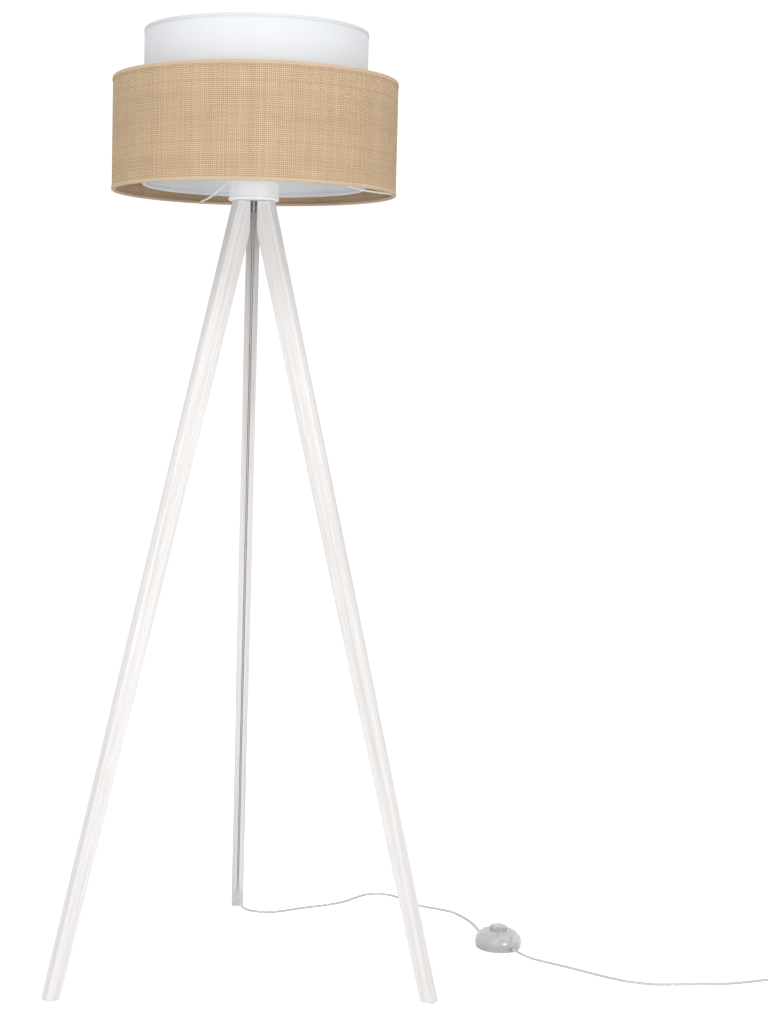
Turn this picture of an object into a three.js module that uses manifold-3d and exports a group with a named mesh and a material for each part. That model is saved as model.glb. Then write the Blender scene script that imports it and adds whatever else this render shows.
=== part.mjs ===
// A tripod floor lamp: three tapered timber legs under a turned hub, a screw lampholder,
// a two-tier drum shade (white inner drum, woven outer drum), a clear foot switch and a flat flex.
// Millimetres, +Z up. The sizes and places below are measured from the floor under the middle of
// the hub. The finished model is then set on the middle of the lamp's footprint, flex left out.
import * as THREE from 'three';
import { mergeVertices } from 'three/addons/utils/BufferGeometryUtils.js';
import Module from 'manifold-3d';

const wasm = await Module();
wasm.setup();

// ---------- driving dimensions ----------
const GAP = 0.3; // air kept between pieces that touch
const ROUND = 48; // facets of the large drums and rings
const MEDIUM = 24; // facets of palm-sized round pieces
const SMALL = 12; // facets of screws and pins

// legs
const LEG_COUNT = 3;
const LEG_TURN = 91; // degrees from +X to the rear leg
const LEG_TOP_Z = 1104;
const LEG_THICKNESS = 19;
const FOOT_OUTER_R = 312;
const FOOT_DEPTH = 20.5;
const TOP_INSIDE_HUB = 5.5; // the leg's top stays this far inside the hub's edge
const TOP_DEPTH = 30.5;
const LEG_RELIEF_R = 10.5; // the inner faces are cut upright at this radius
const LEG_EDGE = 0.8;

// hub
const HUB_R = 35;
const HUB_HEIGHT = 36;
const HUB_FLOOR = 14;
const HUB_WALL = 7;
const HUB_LIP = 0.7;
const HUB_LIP_HEIGHT = 4.5;
const HUB_LINE_DEPTH = 0.8;

// fixings of the legs
const SCREW_FROM_EDGE = 7.5; // from the leg's outer top edge
const SCREW_SHANK_R = 2;
const SCREW_HEAD_R = 4;
const SCREW_HEAD_SINK = 0.6;
const SCREW_LENGTH = 42;
const DOWEL_FROM_RELIEF = 4.5;
const SIDE_OF_LEG = 4.9; // the screw and the dowel stand this far in from the leg's sides
const DOWEL_R = 2.5;
const DOWEL_HALF_LENGTH = 9;

// threaded tube and nut
const NIPPLE_BORE_PLAY = 1; // around the width of the flex
const NIPPLE_WALL = 1.4;
const NIPPLE_ABOVE_SEAT = 10;
const NIPPLE_BELOW_HUB = 16;
const NUT_WALL = 2; // from the tube's thread to the nut's flats
const NUT_HEIGHT = 5;

// lampholder
const HOLDER_R = 20.2;
const HOLDER_WALL = 2.4;
const HOLDER_CAP_HEIGHT = 27;
const HOLDER_SHOULDER_WIDTH = 3.8;
const HOLDER_SHOULDER = 2.4;
const HOLDER_SHOULDER_Z = 32; // above the holder's seat
const HOLDER_HEIGHT = 60;
const INSERT_PLATE = 6;
const CONTACT_SHELL_R = 14.3;
const CONTACT_SHELL_WALL = 0.5;
const TERMINAL_X = 8.5;
const TERMINAL_R = 2.2;
const TERMINAL_LENGTH = 6;
const CORE_R = 1.1;

// shade ring nut
const RING_NUT_WALL = 7.5;
const RING_NUT_HEIGHT = 7;
const RING_NUT_NOTCHES = 8;
const RING_NUT_RUNNING = 0.4; // radial play on the holder's barrel

// bulb
const BULB_CAP_R = 13.2;
const BULB_CAP_HEIGHT = 23;
const BULB_TIP_R = 4.6;
const BULB_TIP_HEIGHT = 2.2;
const BULB_R = 30;
const BULB_LENGTH = 108;

// shade
const OUTER_SHADE_R = 200;
const OUTER_SHADE_BELOW_RING = 38.8; // from the spider's ring down to the drum's lower edge
const OUTER_SHADE_HEIGHT = 155;
const INNER_SHADE_R = 157;
const INNER_SHADE_RAISED = 9; // above the outer drum's lower edge
const INNER_SHADE_HEIGHT = 214;
const OUTER_CLOTH = 1.3;
const INNER_CLOTH = 0.9;
const TAPE_THICKNESS = 0.5;
const TAPE_HEIGHT = 4.5;
const WIRE_R = 1.5;
const SPIDER_ARM_TURN = -6; // degrees from +X to the first arm
const SPIDER_RING_THICKNESS = 2;
const SPIDER_KNEE_BELOW_RING = 0.6;
const SPIDER_KNEE_BEND = 8; // straight wire ends this far from the knee on both sides

// flex: flat twin
const FLEX_WIDTH = 5.2;
const FLEX_THICKNESS = 2.6;
const FLEX_FLOOR_Z = 1.6;
const GROOVE_SIDE_PLAY = 0.35;
const GROOVE_FLOOR_PLAY = 0.5; // behind the flex in its slot
const GROOVE_END_Z = 13;

// foot switch
const SWITCH_X = 392;
const SWITCH_Y = 97;
const SWITCH_TURN = -62; // degrees from +X to the outgoing flex
const SWITCH_R = 35;
const SWITCH_WALL = 2;
const SWITCH_TOP_Z = 28;
const SWITCH_BASE_Z = 1.4;
const SWITCH_BASE = 2.6;
const SWITCH_INLET_Z = 8;
const INLET_PLAY = 0.5;
const BUTTON_R = 12.3;
const BUTTON_TOP_Z = 34;
const BUTTON_WALL = 2;
const BUTTON_TRAVEL = 4;
const BUTTON_PLAY = 0.5;
const BUTTON_SKIRT_Z = 20;
const BUTTON_RIBS = 12;
const BLOCK_LENGTH = 26;
const BLOCK_WIDTH = 18;
const BLOCK_TOP_Z = 12;
const PLUNGER_R = 1.8;
const SPRING_WIRE_R = 0.5;
const SPRING_FOOT_R = 6.4;
const SPRING_HEAD_R = 3.2;
const SPRING_TURNS = 5;
const CLAMP_DISTANCE = 24;
const CASE_SCREW_DISTANCE = 24;
const CASE_SCREW_R = 1.4;
const CASE_BOSS_R = 3.2;

// coil and plug
const COIL_X = 824;
const COIL_Y = -2;
const COIL_MIDDLE_R = 29;
const COIL_COLUMNS = 2;
const COIL_LAYERS = 3;
const TURN_PLAY_ACROSS = 0.2; // between turns side by side
const TURN_PLAY_UP = 0.15; // between turns one above the other
const COIL_FLOOR = 1.2;
const TIE_THICKNESS = 0.7;
const TIE_WIDTH = 5;
const PLUG_LENGTH = 35;
const PLUG_WIDTH = 26;
const PLUG_THICKNESS = 13.6;
const PLUG_RELIEF_LENGTH = 22;
const PIN_R = 2;
const PIN_LENGTH = 19;
const PIN_SPACING = 18.6;

// ---------- places worked out from them ----------
const topOuterR = HUB_R - TOP_INSIDE_HUB;
const screwCircleR = topOuterR - SCREW_FROM_EDGE;
const dowelCircleR = LEG_RELIEF_R + DOWEL_FROM_RELIEF;
const sideOffset = LEG_THICKNESS / 2 - SIDE_OF_LEG;
const legAngle = (i) => LEG_TURN + (360 / LEG_COUNT) * i;
const legOuter = (z) => FOOT_OUTER_R + (topOuterR - FOOT_OUTER_R) * (z / LEG_TOP_Z);
const legInner = (z) => legOuter(z) - FOOT_DEPTH - (TOP_DEPTH - FOOT_DEPTH) * (z / LEG_TOP_Z);
const reliefZ = legInner(0) > LEG_RELIEF_R
  ? (LEG_TOP_Z * (legInner(0) - LEG_RELIEF_R)) / (legInner(0) - legInner(LEG_TOP_Z))
  : 0;
const nippleBoreR = FLEX_WIDTH / 2 + NIPPLE_BORE_PLAY;
const nippleR = nippleBoreR + NIPPLE_WALL;
const grooveDepth = GAP + FLEX_WIDTH + GROOVE_FLOOR_PLAY;
const turnPitchAcross = FLEX_WIDTH + TURN_PLAY_ACROSS;
const turnPitchUp = FLEX_THICKNESS + TURN_PLAY_UP;
const hubZ = LEG_TOP_Z + GAP;
const hubFloorZ = hubZ + HUB_FLOOR;
const hubTopZ = hubZ + HUB_HEIGHT;
const hubRecessR = HUB_R - HUB_WALL;
const seatZ = hubFloorZ + GAP;
const capTopZ = seatZ + HOLDER_CAP_HEIGHT;
const shoulderZ = seatZ + HOLDER_SHOULDER_Z;
const shoulderTopZ = shoulderZ + HOLDER_SHOULDER;
const holderTopZ = seatZ + HOLDER_HEIGHT;
const holderShoulderR = HOLDER_R + HOLDER_SHOULDER_WIDTH;
const holderBoreR = HOLDER_R - HOLDER_WALL;
const insertZ = seatZ + HOLDER_CAP_HEIGHT - 4;
const plateTopZ = insertZ + INSERT_PLATE;
const nippleTopZ = seatZ + NIPPLE_ABOVE_SEAT;
const nippleFootZ = hubZ - NIPPLE_BELOW_HUB;
const contactZ = plateTopZ + GAP;
const bulbZ = contactZ + 2.2;
const spiderZ = shoulderTopZ + GAP;
const outerShadeZ = spiderZ - OUTER_SHADE_BELOW_RING;
const innerShadeZ = outerShadeZ + INNER_SHADE_RAISED;
const ringNutZ = spiderZ + SPIDER_RING_THICKNESS + GAP;
const ringNutR = HOLDER_R + RING_NUT_RUNNING;
const outerRingR = OUTER_SHADE_R - OUTER_CLOTH - GAP - WIRE_R;
const innerRingR = INNER_SHADE_R - INNER_CLOTH - GAP - WIRE_R;
const outerRingZ = outerShadeZ + WIRE_R + GAP;
const innerRingZ = innerShadeZ + WIRE_R + GAP;

// ---------- materials ----------
function paint(color, roughness, metalness = 0, opacity = 1) {
  return new THREE.MeshStandardMaterial({
    color, roughness, metalness, opacity, transparent: opacity < 1,
  });
}

const lacqueredWood = () => paint(0xf1f0ee, 0.45);
const zincSteel = () => paint(0xb9bbbd, 0.35, 0.9);
const brass = () => paint(0xc9a860, 0.3, 0.9);
const beech = () => paint(0xd9b98a, 0.6);
const whitePlastic = () => paint(0xf2f2f0, 0.4);
const whiteWire = () => paint(0xeeeeec, 0.4, 0.2);
const clearPlastic = () => paint(0xe9ecee, 0.12, 0, 0.45);
const clearFlex = () => paint(0xd5d6d4, 0.25, 0, 0.7);

// ---------- helpers ----------
const upwards = new THREE.Vector3(0, 0, 1);
const lamp = new THREE.Group();
const standing = new THREE.Group(); // the lamp itself
const trailing = new THREE.Group(); // the free flex and what is on it
lamp.add(standing, trailing);

function add(name, geometry, material, parent = standing) {
  const mesh = new THREE.Mesh(geometry, material);
  mesh.name = name;
  parent.add(mesh);
  return mesh;
}

function turnedGroup(degrees, x = 0, y = 0, parent = standing) {
  const group = new THREE.Group();
  group.position.set(x, y, 0);
  group.rotation.z = THREE.MathUtils.degToRad(degrees);
  parent.add(group);
  return group;
}

// merged vertices, with the faces turned outwards
function tidy(geometry) {
  const bare = geometry.clone();
  bare.deleteAttribute('normal');
  bare.deleteAttribute('uv');
  const merged = mergeVertices(bare, 1e-4);
  const p = merged.attributes.position;
  const kept = [];
  const a = new THREE.Vector3();
  const b = new THREE.Vector3();
  const c = new THREE.Vector3();
  let volume = 0;
  for (let i = 0; i < merged.index.count; i += 3) {
    const [u, v, w] = [0, 1, 2].map((k) => merged.index.getX(i + k));
    if (u === v || v === w || w === u) continue;
    kept.push(u, v, w);
    a.fromBufferAttribute(p, u);
    b.fromBufferAttribute(p, v);
    c.fromBufferAttribute(p, w);
    volume += a.dot(b.cross(c));
  }
  if (volume < 0) {
    for (let i = 0; i < kept.length; i += 3) {
      [kept[i], kept[i + 1]] = [kept[i + 1], kept[i]];
    }
  }
  merged.setIndex(kept);
  return merged;
}

function toSolid(geometry) {
  const clean = tidy(geometry);
  return new wasm.Manifold(new wasm.Mesh({
    numProp: 3,
    vertProperties: new Float32Array(clean.attributes.position.array),
    triVerts: new Uint32Array(clean.index.array),
  }));
}

function fromSolid(solid) {
  const mesh = solid.getMesh();
  const geometry = new THREE.BufferGeometry();
  geometry.setAttribute('position', new THREE.BufferAttribute(mesh.vertProperties, 3));
  geometry.setIndex(new THREE.BufferAttribute(mesh.triVerts, 1));
  geometry.computeVertexNormals();
  return geometry;
}

const cut = (body, tools) => fromSolid(
  tools.reduce((rest, tool) => rest.subtract(toSolid(tool)), toSolid(body)),
);
const join = (pieces) => fromSolid(
  pieces.slice(1).reduce((whole, piece) => whole.add(toSolid(piece)), toSolid(pieces[0])),
);

const common = (a, b) => fromSolid(toSolid(a).intersect(toSolid(b)));

// a profile of [radius, height] points turned about the upright axis
function turned(points, facets = MEDIUM) {
  const onAxis = points[0][0] === 0 && points[points.length - 1][0] === 0;
  const closed = onAxis ? points : [...points, points[0]];
  const profile = closed.map(([r, z]) => new THREE.Vector2(r, z));
  return tidy(new THREE.LatheGeometry(profile, facets).rotateX(Math.PI / 2));
}

function hollowDrum(outerR, wall, z, height, facets = ROUND) {
  const innerR = outerR - wall;
  return turned([[innerR, z], [outerR, z], [outerR, z + height], [innerR, z + height]], facets);
}

function rod(r, z0, z1, facets = SMALL) {
  const shape = new THREE.CylinderGeometry(r, r, z1 - z0, facets);
  return tidy(shape.rotateX(Math.PI / 2).translate(0, 0, (z0 + z1) / 2));
}

function block(x0, x1, y0, y1, z0, z1) {
  const box = new THREE.BoxGeometry(x1 - x0, y1 - y0, z1 - z0);
  return box.translate((x0 + x1) / 2, (y0 + y1) / 2, (z0 + z1) / 2);
}

// an outline of [x, z] points pulled evenly to both sides of y = 0, its edges eased
function slab(points, thickness, edge = 0) {
  const shape = new THREE.Shape(points.map(([x, z]) => new THREE.Vector2(x, z)));
  const options = { depth: thickness - 2 * edge, bevelEnabled: edge > 0, bevelSegments: 1 };
  options.bevelSize = edge;
  options.bevelOffset = -edge;
  options.bevelThickness = edge;
  const geometry = new THREE.ExtrudeGeometry(shape, options);
  return tidy(geometry.translate(0, 0, edge - thickness / 2).rotateX(Math.PI / 2));
}

function wireRing(r, z, wireR = WIRE_R) {
  return tidy(new THREE.TorusGeometry(r, wireR, 5, ROUND).translate(0, 0, z));
}

const curveThrough = (points) => new THREE.CatmullRomCurve3(
  points.map(([x, y, z]) => new THREE.Vector3(x, y, z)), false, 'centripetal',
);

function roundTube(curve, r, sides, steps) {
  const shape = new THREE.Shape();
  for (let i = 0; i < sides; i += 1) {
    const a = (2 * Math.PI * i) / sides;
    if (i === 0) shape.moveTo(r, 0);
    else shape.lineTo(r * Math.cos(a), r * Math.sin(a));
  }
  return tidy(new THREE.ExtrudeGeometry(shape, { steps, extrudePath: curve, curveSegments: 1 }));
}

// the flat twin flex along a curve, its width square to the direction given at mid length
function flexTube(curve, steps, thin) {
  const frames = curve.computeFrenetFrames(steps, false);
  const middle = Math.round(steps / 2);
  const turn = Math.atan2(thin.dot(frames.binormals[middle]), thin.dot(frames.normals[middle]));
  const [w, t] = [FLEX_WIDTH / 2, FLEX_THICKNESS / 2];
  const corner = 0.8;
  const outline = [
    [t, w - corner], [t - corner, w], [corner - t, w], [-t, w - corner],
    [-t, corner - w], [corner - t, -w], [t - corner, -w], [t, corner - w],
  ];
  const middleAt = new THREE.Vector2(0, 0);
  const points = outline.map(([x, y]) => new THREE.Vector2(x, y).rotateAround(middleAt, turn));
  return tidy(new THREE.ExtrudeGeometry(new THREE.Shape(points), { steps, extrudePath: curve }));
}

// ---------- legs ----------
function legShape() {
  return slab([
    [legInner(0), 0],
    [legOuter(0), 0],
    [legOuter(LEG_TOP_Z), LEG_TOP_Z],
    [LEG_RELIEF_R, LEG_TOP_Z],
    [LEG_RELIEF_R, reliefZ],
  ], LEG_THICKNESS, LEG_EDGE);
}

// the slot down the inner face that takes the flex, from above the relief to near the floor
function grooveTool() {
  const halfWidth = FLEX_THICKNESS / 2 + GROOVE_SIDE_PLAY;
  const top = reliefZ;
  const mouth = 4;
  const outline = [
    [legInner(GROOVE_END_Z) - mouth, GROOVE_END_Z],
    [legInner(GROOVE_END_Z + 26) + grooveDepth, GROOVE_END_Z + 26],
    [legInner(top) + grooveDepth, top],
    [legInner(top) - mouth, top],
  ];
  return slab(outline, 2 * halfWidth);
}

function screwAt(r, y) {
  const headTop = hubFloorZ - SCREW_HEAD_SINK;
  const tip = headTop - SCREW_LENGTH;
  const profile = [
    [0, tip], [SCREW_SHANK_R, tip + 4], [SCREW_SHANK_R, headTop - 2.6],
    [SCREW_HEAD_R, headTop - 0.4], [SCREW_HEAD_R, headTop], [0, headTop],
  ];
  return turned(profile, SMALL).translate(r, y, 0);
}

function screwHole(r, y) {
  const headTop = hubFloorZ - SCREW_HEAD_SINK;
  const tip = headTop - SCREW_LENGTH;
  const profile = [
    [0, tip - GAP], [SCREW_SHANK_R + GAP, tip + 4], [SCREW_SHANK_R + GAP, headTop - 2.8],
    [SCREW_HEAD_R + GAP, headTop - 0.6], [SCREW_HEAD_R + GAP, hubFloorZ + 1], [0, hubFloorZ + 1],
  ];
  return turned(profile, SMALL).translate(r, y, 0);
}

const dowel = (r, grow) => rod(
  r, hubZ - DOWEL_HALF_LENGTH - grow, hubZ + DOWEL_HALF_LENGTH + grow,
).translate(dowelCircleR, sideOffset, 0);

const legNames = ['rear', 'left', 'right'];
legNames.forEach((name, i) => {
  const group = turnedGroup(legAngle(i));
  const tools = [screwHole(screwCircleR, -sideOffset), dowel(DOWEL_R + GAP, GAP)];
  if (name === 'rear') tools.push(grooveTool());
  add(`leg_${name}`, cut(legShape(), tools), lacqueredWood(), group);
  add(`leg_screw_${name}`, screwAt(screwCircleR, -sideOffset), zincSteel(), group);
  add(`leg_dowel_${name}`, dowel(DOWEL_R, 0), beech(), group);
});

// ---------- hub ----------
function hubShape() {
  const bore = nippleR + GAP;
  const edge = 1.2;
  const lipR = HUB_R + HUB_LIP;
  const lineZ = hubZ + HUB_LIP_HEIGHT;
  const body = turned([
    [bore, hubZ], [lipR - edge, hubZ], [lipR, hubZ + edge], [lipR, lineZ],
    [HUB_R - HUB_LINE_DEPTH, lineZ + 0.4], [HUB_R - HUB_LINE_DEPTH, lineZ + 1],
    [HUB_R, lineZ + 1.6], [HUB_R, hubTopZ - edge], [HUB_R - edge, hubTopZ],
    [hubRecessR + edge, hubTopZ], [hubRecessR, hubTopZ - edge],
    [hubRecessR, hubFloorZ], [bore, hubFloorZ],
  ], 32);
  const holes = legNames.flatMap((name, i) => {
    const angle = THREE.MathUtils.degToRad(legAngle(i));
    return [screwHole(screwCircleR, -sideOffset), dowel(DOWEL_R + GAP, GAP)]
      .map((tool) => tool.rotateZ(angle));
  });
  return cut(body, holes);
}

add('hub', hubShape(), lacqueredWood());

// ---------- threaded tube and its nut ----------
const nippleLength = nippleTopZ - nippleFootZ;
add('threaded_tube', hollowDrum(
  nippleR, NIPPLE_WALL, nippleFootZ, nippleLength, MEDIUM,
), zincSteel());

function nutShape() {
  const top = hubZ - GAP;
  const across = (2 * (nippleR + NUT_WALL)) / Math.sqrt(3);
  const hex = rod(across, top - NUT_HEIGHT, top, 6);
  return cut(hex, [rod(nippleR + GAP, top - NUT_HEIGHT - 1, top + 1, 24)]);
}

add('tube_nut', nutShape(), zincSteel());

// ---------- lampholder ----------
function holderCapShape() {
  const hole = nippleR + GAP;
  const bossR = 8.5;
  const bossTop = nippleTopZ + 1;
  const floor = seatZ + HOLDER_WALL;
  const innerR = HOLDER_R - HOLDER_WALL;
  return turned([
    [hole, seatZ], [HOLDER_R - 4, seatZ], [HOLDER_R - 1, seatZ + 1.4], [HOLDER_R, seatZ + 5],
    [HOLDER_R, capTopZ], [innerR, capTopZ], [innerR, seatZ + 5],
    [innerR - 2, floor], [bossR, floor], [bossR, bossTop], [hole, bossTop],
  ]);
}

function holderShellShape() {
  const bottom = capTopZ + GAP;
  const barrelR = HOLDER_R;
  return turned([
    [holderBoreR, bottom], [barrelR + 1.2, bottom], [barrelR + 1.2, shoulderZ - 2],
    [holderShoulderR, shoulderZ], [holderShoulderR, shoulderTopZ],
    [barrelR, shoulderTopZ], [barrelR, holderTopZ - 0.8], [barrelR - 0.8, holderTopZ],
    [holderBoreR, holderTopZ],
  ]);
}

function insertShape() {
  const outer = holderBoreR - GAP;
  const wallR = CONTACT_SHELL_R + GAP;
  const top = holderTopZ - 1.5;
  const cup = turned([
    [0, insertZ], [outer, insertZ], [outer, top], [wallR, top], [wallR, plateTopZ], [0, plateTopZ],
  ], MEDIUM);
  const holes = [-1, 1].map((side) => rod(
    TERMINAL_R + GAP, insertZ - 1, insertZ + TERMINAL_LENGTH / 2 + GAP,
  ).translate(side * TERMINAL_X, 0, 0));
  return cut(cup, holes);
}

add('holder_cap', holderCapShape(), whitePlastic());
add('holder_shell', holderShellShape(), whitePlastic());
add('holder_insert', insertShape(), paint(0xe6e3da, 0.55));

const shellContactZ = contactZ + 4;
add('screw_contact', hollowDrum(
  CONTACT_SHELL_R, CONTACT_SHELL_WALL, shellContactZ, holderTopZ - 3 - shellContactZ, MEDIUM,
), brass());

function centreContactShape() {
  const leaf = 0.7;
  const half = 7;
  const rise = 1.1;
  const outline = [
    [-half, contactZ], [-2.5, contactZ], [0.5, contactZ + rise], [4.5, contactZ + rise],
    [4.5, contactZ + rise + leaf], [0.3, contactZ + rise + leaf], [-2.7, contactZ + leaf],
    [-half, contactZ + leaf],
  ];
  return slab(outline, 6);
}

add('centre_contact', centreContactShape(), brass());

const terminalZ = insertZ - TERMINAL_LENGTH / 2;
[['live', -1], ['neutral', 1]].forEach(([name, side]) => {
  const screw = rod(TERMINAL_R, terminalZ, terminalZ + TERMINAL_LENGTH);
  add(`terminal_screw_${name}`, screw.translate(side * TERMINAL_X, 0, 0), brass());
});

// ---------- shade ring nut ----------
function ringNutShape() {
  const outer = ringNutR + RING_NUT_WALL;
  const top = ringNutZ + RING_NUT_HEIGHT;
  const body = turned([
    [ringNutR, ringNutZ], [outer, ringNutZ], [outer, ringNutZ + 2], [outer - 3, top - 1],
    [outer - 4, top], [ringNutR, top],
  ]);
  const notches = Array.from({ length: RING_NUT_NOTCHES }, (_, i) => {
    const notch = rod(1.8, ringNutZ + 2, top + 1, 6).translate(outer - 1.4, 0, 0);
    return notch.rotateZ((2 * Math.PI * i) / RING_NUT_NOTCHES);
  });
  return cut(body, notches);
}

add('shade_ring_nut', ringNutShape(), whitePlastic());

// ---------- bulb ----------
const bulbCapZ = bulbZ + BULB_TIP_HEIGHT + GAP;
const bulbCapTop = bulbCapZ + BULB_CAP_HEIGHT;

add('bulb_tip', rod(BULB_TIP_R, bulbZ, bulbZ + BULB_TIP_HEIGHT, MEDIUM / 2), zincSteel());
add('bulb_cap', turned([
  [0, bulbCapZ], [6.5, bulbCapZ], [BULB_CAP_R - 1, bulbCapZ + 4], [BULB_CAP_R, bulbCapZ + 6],
  [BULB_CAP_R, bulbCapTop], [0, bulbCapTop],
]), zincSteel());

function bulbGlassShape() {
  const z0 = bulbCapTop + GAP;
  const top = bulbZ + BULB_LENGTH;
  const centre = top - BULB_R;
  const points = [[0, z0], [BULB_CAP_R, z0], [BULB_CAP_R + 1.5, z0 + 8]];
  const start = -40;
  const steps = 8;
  for (let i = 0; i < steps; i += 1) {
    const a = THREE.MathUtils.degToRad(start + ((90 - start) * i) / steps);
    points.push([BULB_R * Math.cos(a), centre + BULB_R * Math.sin(a)]);
  }
  points.push([0, top]);
  return turned(points, 24);
}

add('bulb_glass', bulbGlassShape(), paint(0xf6f6f4, 0.5));

// ---------- shade frame ----------
const armStartR = ringNutR + RING_NUT_WALL - 1 + GAP;
const spiderRingR = armStartR - GAP;
const spiderBoreR = HOLDER_R + 0.8;
const spiderMiddleZ = spiderZ + SPIDER_RING_THICKNESS / 2;

add('spider_ring', hollowDrum(
  spiderRingR, spiderRingR - spiderBoreR, spiderZ, SPIDER_RING_THICKNESS, MEDIUM,
), whiteWire());

const ARM_STEPS = 24; // lengths of straight tube in one arm

function armShape() {
  const kneeR = innerRingR + WIRE_R;
  const kneeZ = innerShadeZ - WIRE_R - SPIDER_KNEE_BELOW_RING;
  const endR = outerRingR - WIRE_R - GAP;
  const knee = new THREE.Vector3(kneeR, 0, kneeZ);
  const start = new THREE.Vector3(armStartR + 0.5, 0, spiderMiddleZ);
  const finish = new THREE.Vector3(endR, 0, outerRingZ + 0.5);
  const towards = (end) => end.clone().sub(knee).setLength(SPIDER_KNEE_BEND).add(knee);
  const before = towards(start);
  const after = towards(finish);
  const path = new THREE.CurvePath();
  path.add(new THREE.LineCurve3(start, before));
  path.add(new THREE.QuadraticBezierCurve3(before, knee, after));
  path.add(new THREE.LineCurve3(after, finish));
  return roundTube(path, WIRE_R, 8, ARM_STEPS);
}

const spiderAngles = [0, 1, 2].map((i) => SPIDER_ARM_TURN + 120 * i);
spiderAngles.forEach((angle, i) => {
  add(`spider_arm_${i + 1}`, armShape(), whiteWire(), turnedGroup(angle));
});

const outerTopRingZ = outerShadeZ + OUTER_SHADE_HEIGHT - WIRE_R - GAP;
const innerTopRingZ = innerShadeZ + INNER_SHADE_HEIGHT - WIRE_R - GAP;
add('outer_bottom_ring', wireRing(outerRingR, outerRingZ), whiteWire());
add('inner_bottom_ring', wireRing(innerRingR, innerRingZ), whiteWire());
add('outer_top_ring', wireRing(outerRingR, outerTopRingZ), whiteWire());
add('inner_top_ring', wireRing(innerRingR, innerTopRingZ), whiteWire());

// ---------- shades and their edge tapes ----------
add('outer_shade', hollowDrum(
  OUTER_SHADE_R, OUTER_CLOTH, outerShadeZ, OUTER_SHADE_HEIGHT,
), paint(0xd2b48c, 0.9));
add('inner_shade', hollowDrum(
  INNER_SHADE_R, INNER_CLOTH, innerShadeZ, INNER_SHADE_HEIGHT,
), paint(0xf0f1f4, 0.8));

const tapeR = OUTER_SHADE_R + GAP + TAPE_THICKNESS;
const tapeTopZ = outerShadeZ + OUTER_SHADE_HEIGHT - TAPE_HEIGHT;
[['bottom', outerShadeZ], ['top', tapeTopZ]].forEach(([place, z]) => {
  const tape = hollowDrum(tapeR, TAPE_THICKNESS, z, TAPE_HEIGHT);
  add(`outer_tape_${place}`, tape, paint(0xd8bd95, 0.85));
});

// ---------- flex inside the lamp: lampholder, threaded tube, slot in the rear leg ----------
// [distance from the lamp's axis towards the rear leg, height]
const slotMiddle = (z) => legInner(z) + GAP + FLEX_WIDTH / 2;
const flexTopZ = nippleTopZ + 3;
const innerFlexRoute = [
  [0, flexTopZ],
  [0, nippleFootZ - 4],
  [2.2, reliefZ + 10],
  [8, reliefZ - 8],
  [slotMiddle(reliefZ - 28) - 4.4, reliefZ - 28],
  [slotMiddle(reliefZ - 50) - 2.2, reliefZ - 50],
  [slotMiddle(reliefZ - 74) - 1.6, reliefZ - 74],
  [slotMiddle(reliefZ - 106) - 0.6, reliefZ - 106],
  [slotMiddle(reliefZ - 142), reliefZ - 142],
  [slotMiddle(600), 600],
  [slotMiddle(220), 220],
  [slotMiddle(90), 90],
  [slotMiddle(60), 60],
  [slotMiddle(48) - 0.6, 48],
  [slotMiddle(38) - 1.6, 38],
  [slotMiddle(30.5) - 4.1, 30.5],
  [slotMiddle(24.6) - 6.4, 24.6],
];
const innerFlex = curveThrough(innerFlexRoute.map(([r, z]) => [r, 0, z]));
add('leg_flex', flexTube(innerFlex, 36, new THREE.Vector3(0, 1, 0)), clearFlex(), turnedGroup(LEG_TURN));

[['live', -1], ['neutral', 1]].forEach(([name, side]) => {
  const z0 = flexTopZ + GAP;
  const route = [
    [side * 1.3, 0, z0],
    [side * 2.2, 0, z0 + 2.4],
    [side * (TERMINAL_X - TERMINAL_R - 3), 0, terminalZ - 1],
    [side * (TERMINAL_X - TERMINAL_R - CORE_R - GAP), 0, terminalZ + 1.5],
  ];
  add(`core_${name}`, roundTube(curveThrough(route), CORE_R, 8, 8), clearFlex());
});

// ---------- foot switch ----------
const footSwitch = turnedGroup(SWITCH_TURN, SWITCH_X, SWITCH_Y, trailing);
const switchFloorZ = SWITCH_BASE_Z + SWITCH_BASE;
const buttonHoleR = BUTTON_R + BUTTON_PLAY;
const buttonTopInside = BUTTON_TOP_Z - BUTTON_WALL;
const flangeTopZ = SWITCH_TOP_Z - SWITCH_WALL - GAP;
const inletWidth = FLEX_WIDTH + 2 * INLET_PLAY;
const inletHeight = FLEX_THICKNESS + 2 * INLET_PLAY;

// the case's outside, shrunk by an inset for its inside
function caseOutline(inset) {
  const r = SWITCH_R - inset;
  const rise = SWITCH_TOP_Z - inset;
  const widest = 9;
  const points = [[r - 1.5, SWITCH_BASE_Z], [r - 0.3, 4], [r, widest]];
  const power = 2.3;
  for (const share of [0.4, 0.7, 0.88]) {
    const x = (1 - share ** power) ** (1 / power);
    points.push([buttonHoleR + (r - buttonHoleR) * x, widest + (rise - widest) * share]);
  }
  points.push([buttonHoleR + 2, rise], [buttonHoleR, rise]);
  return points;
}

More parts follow.
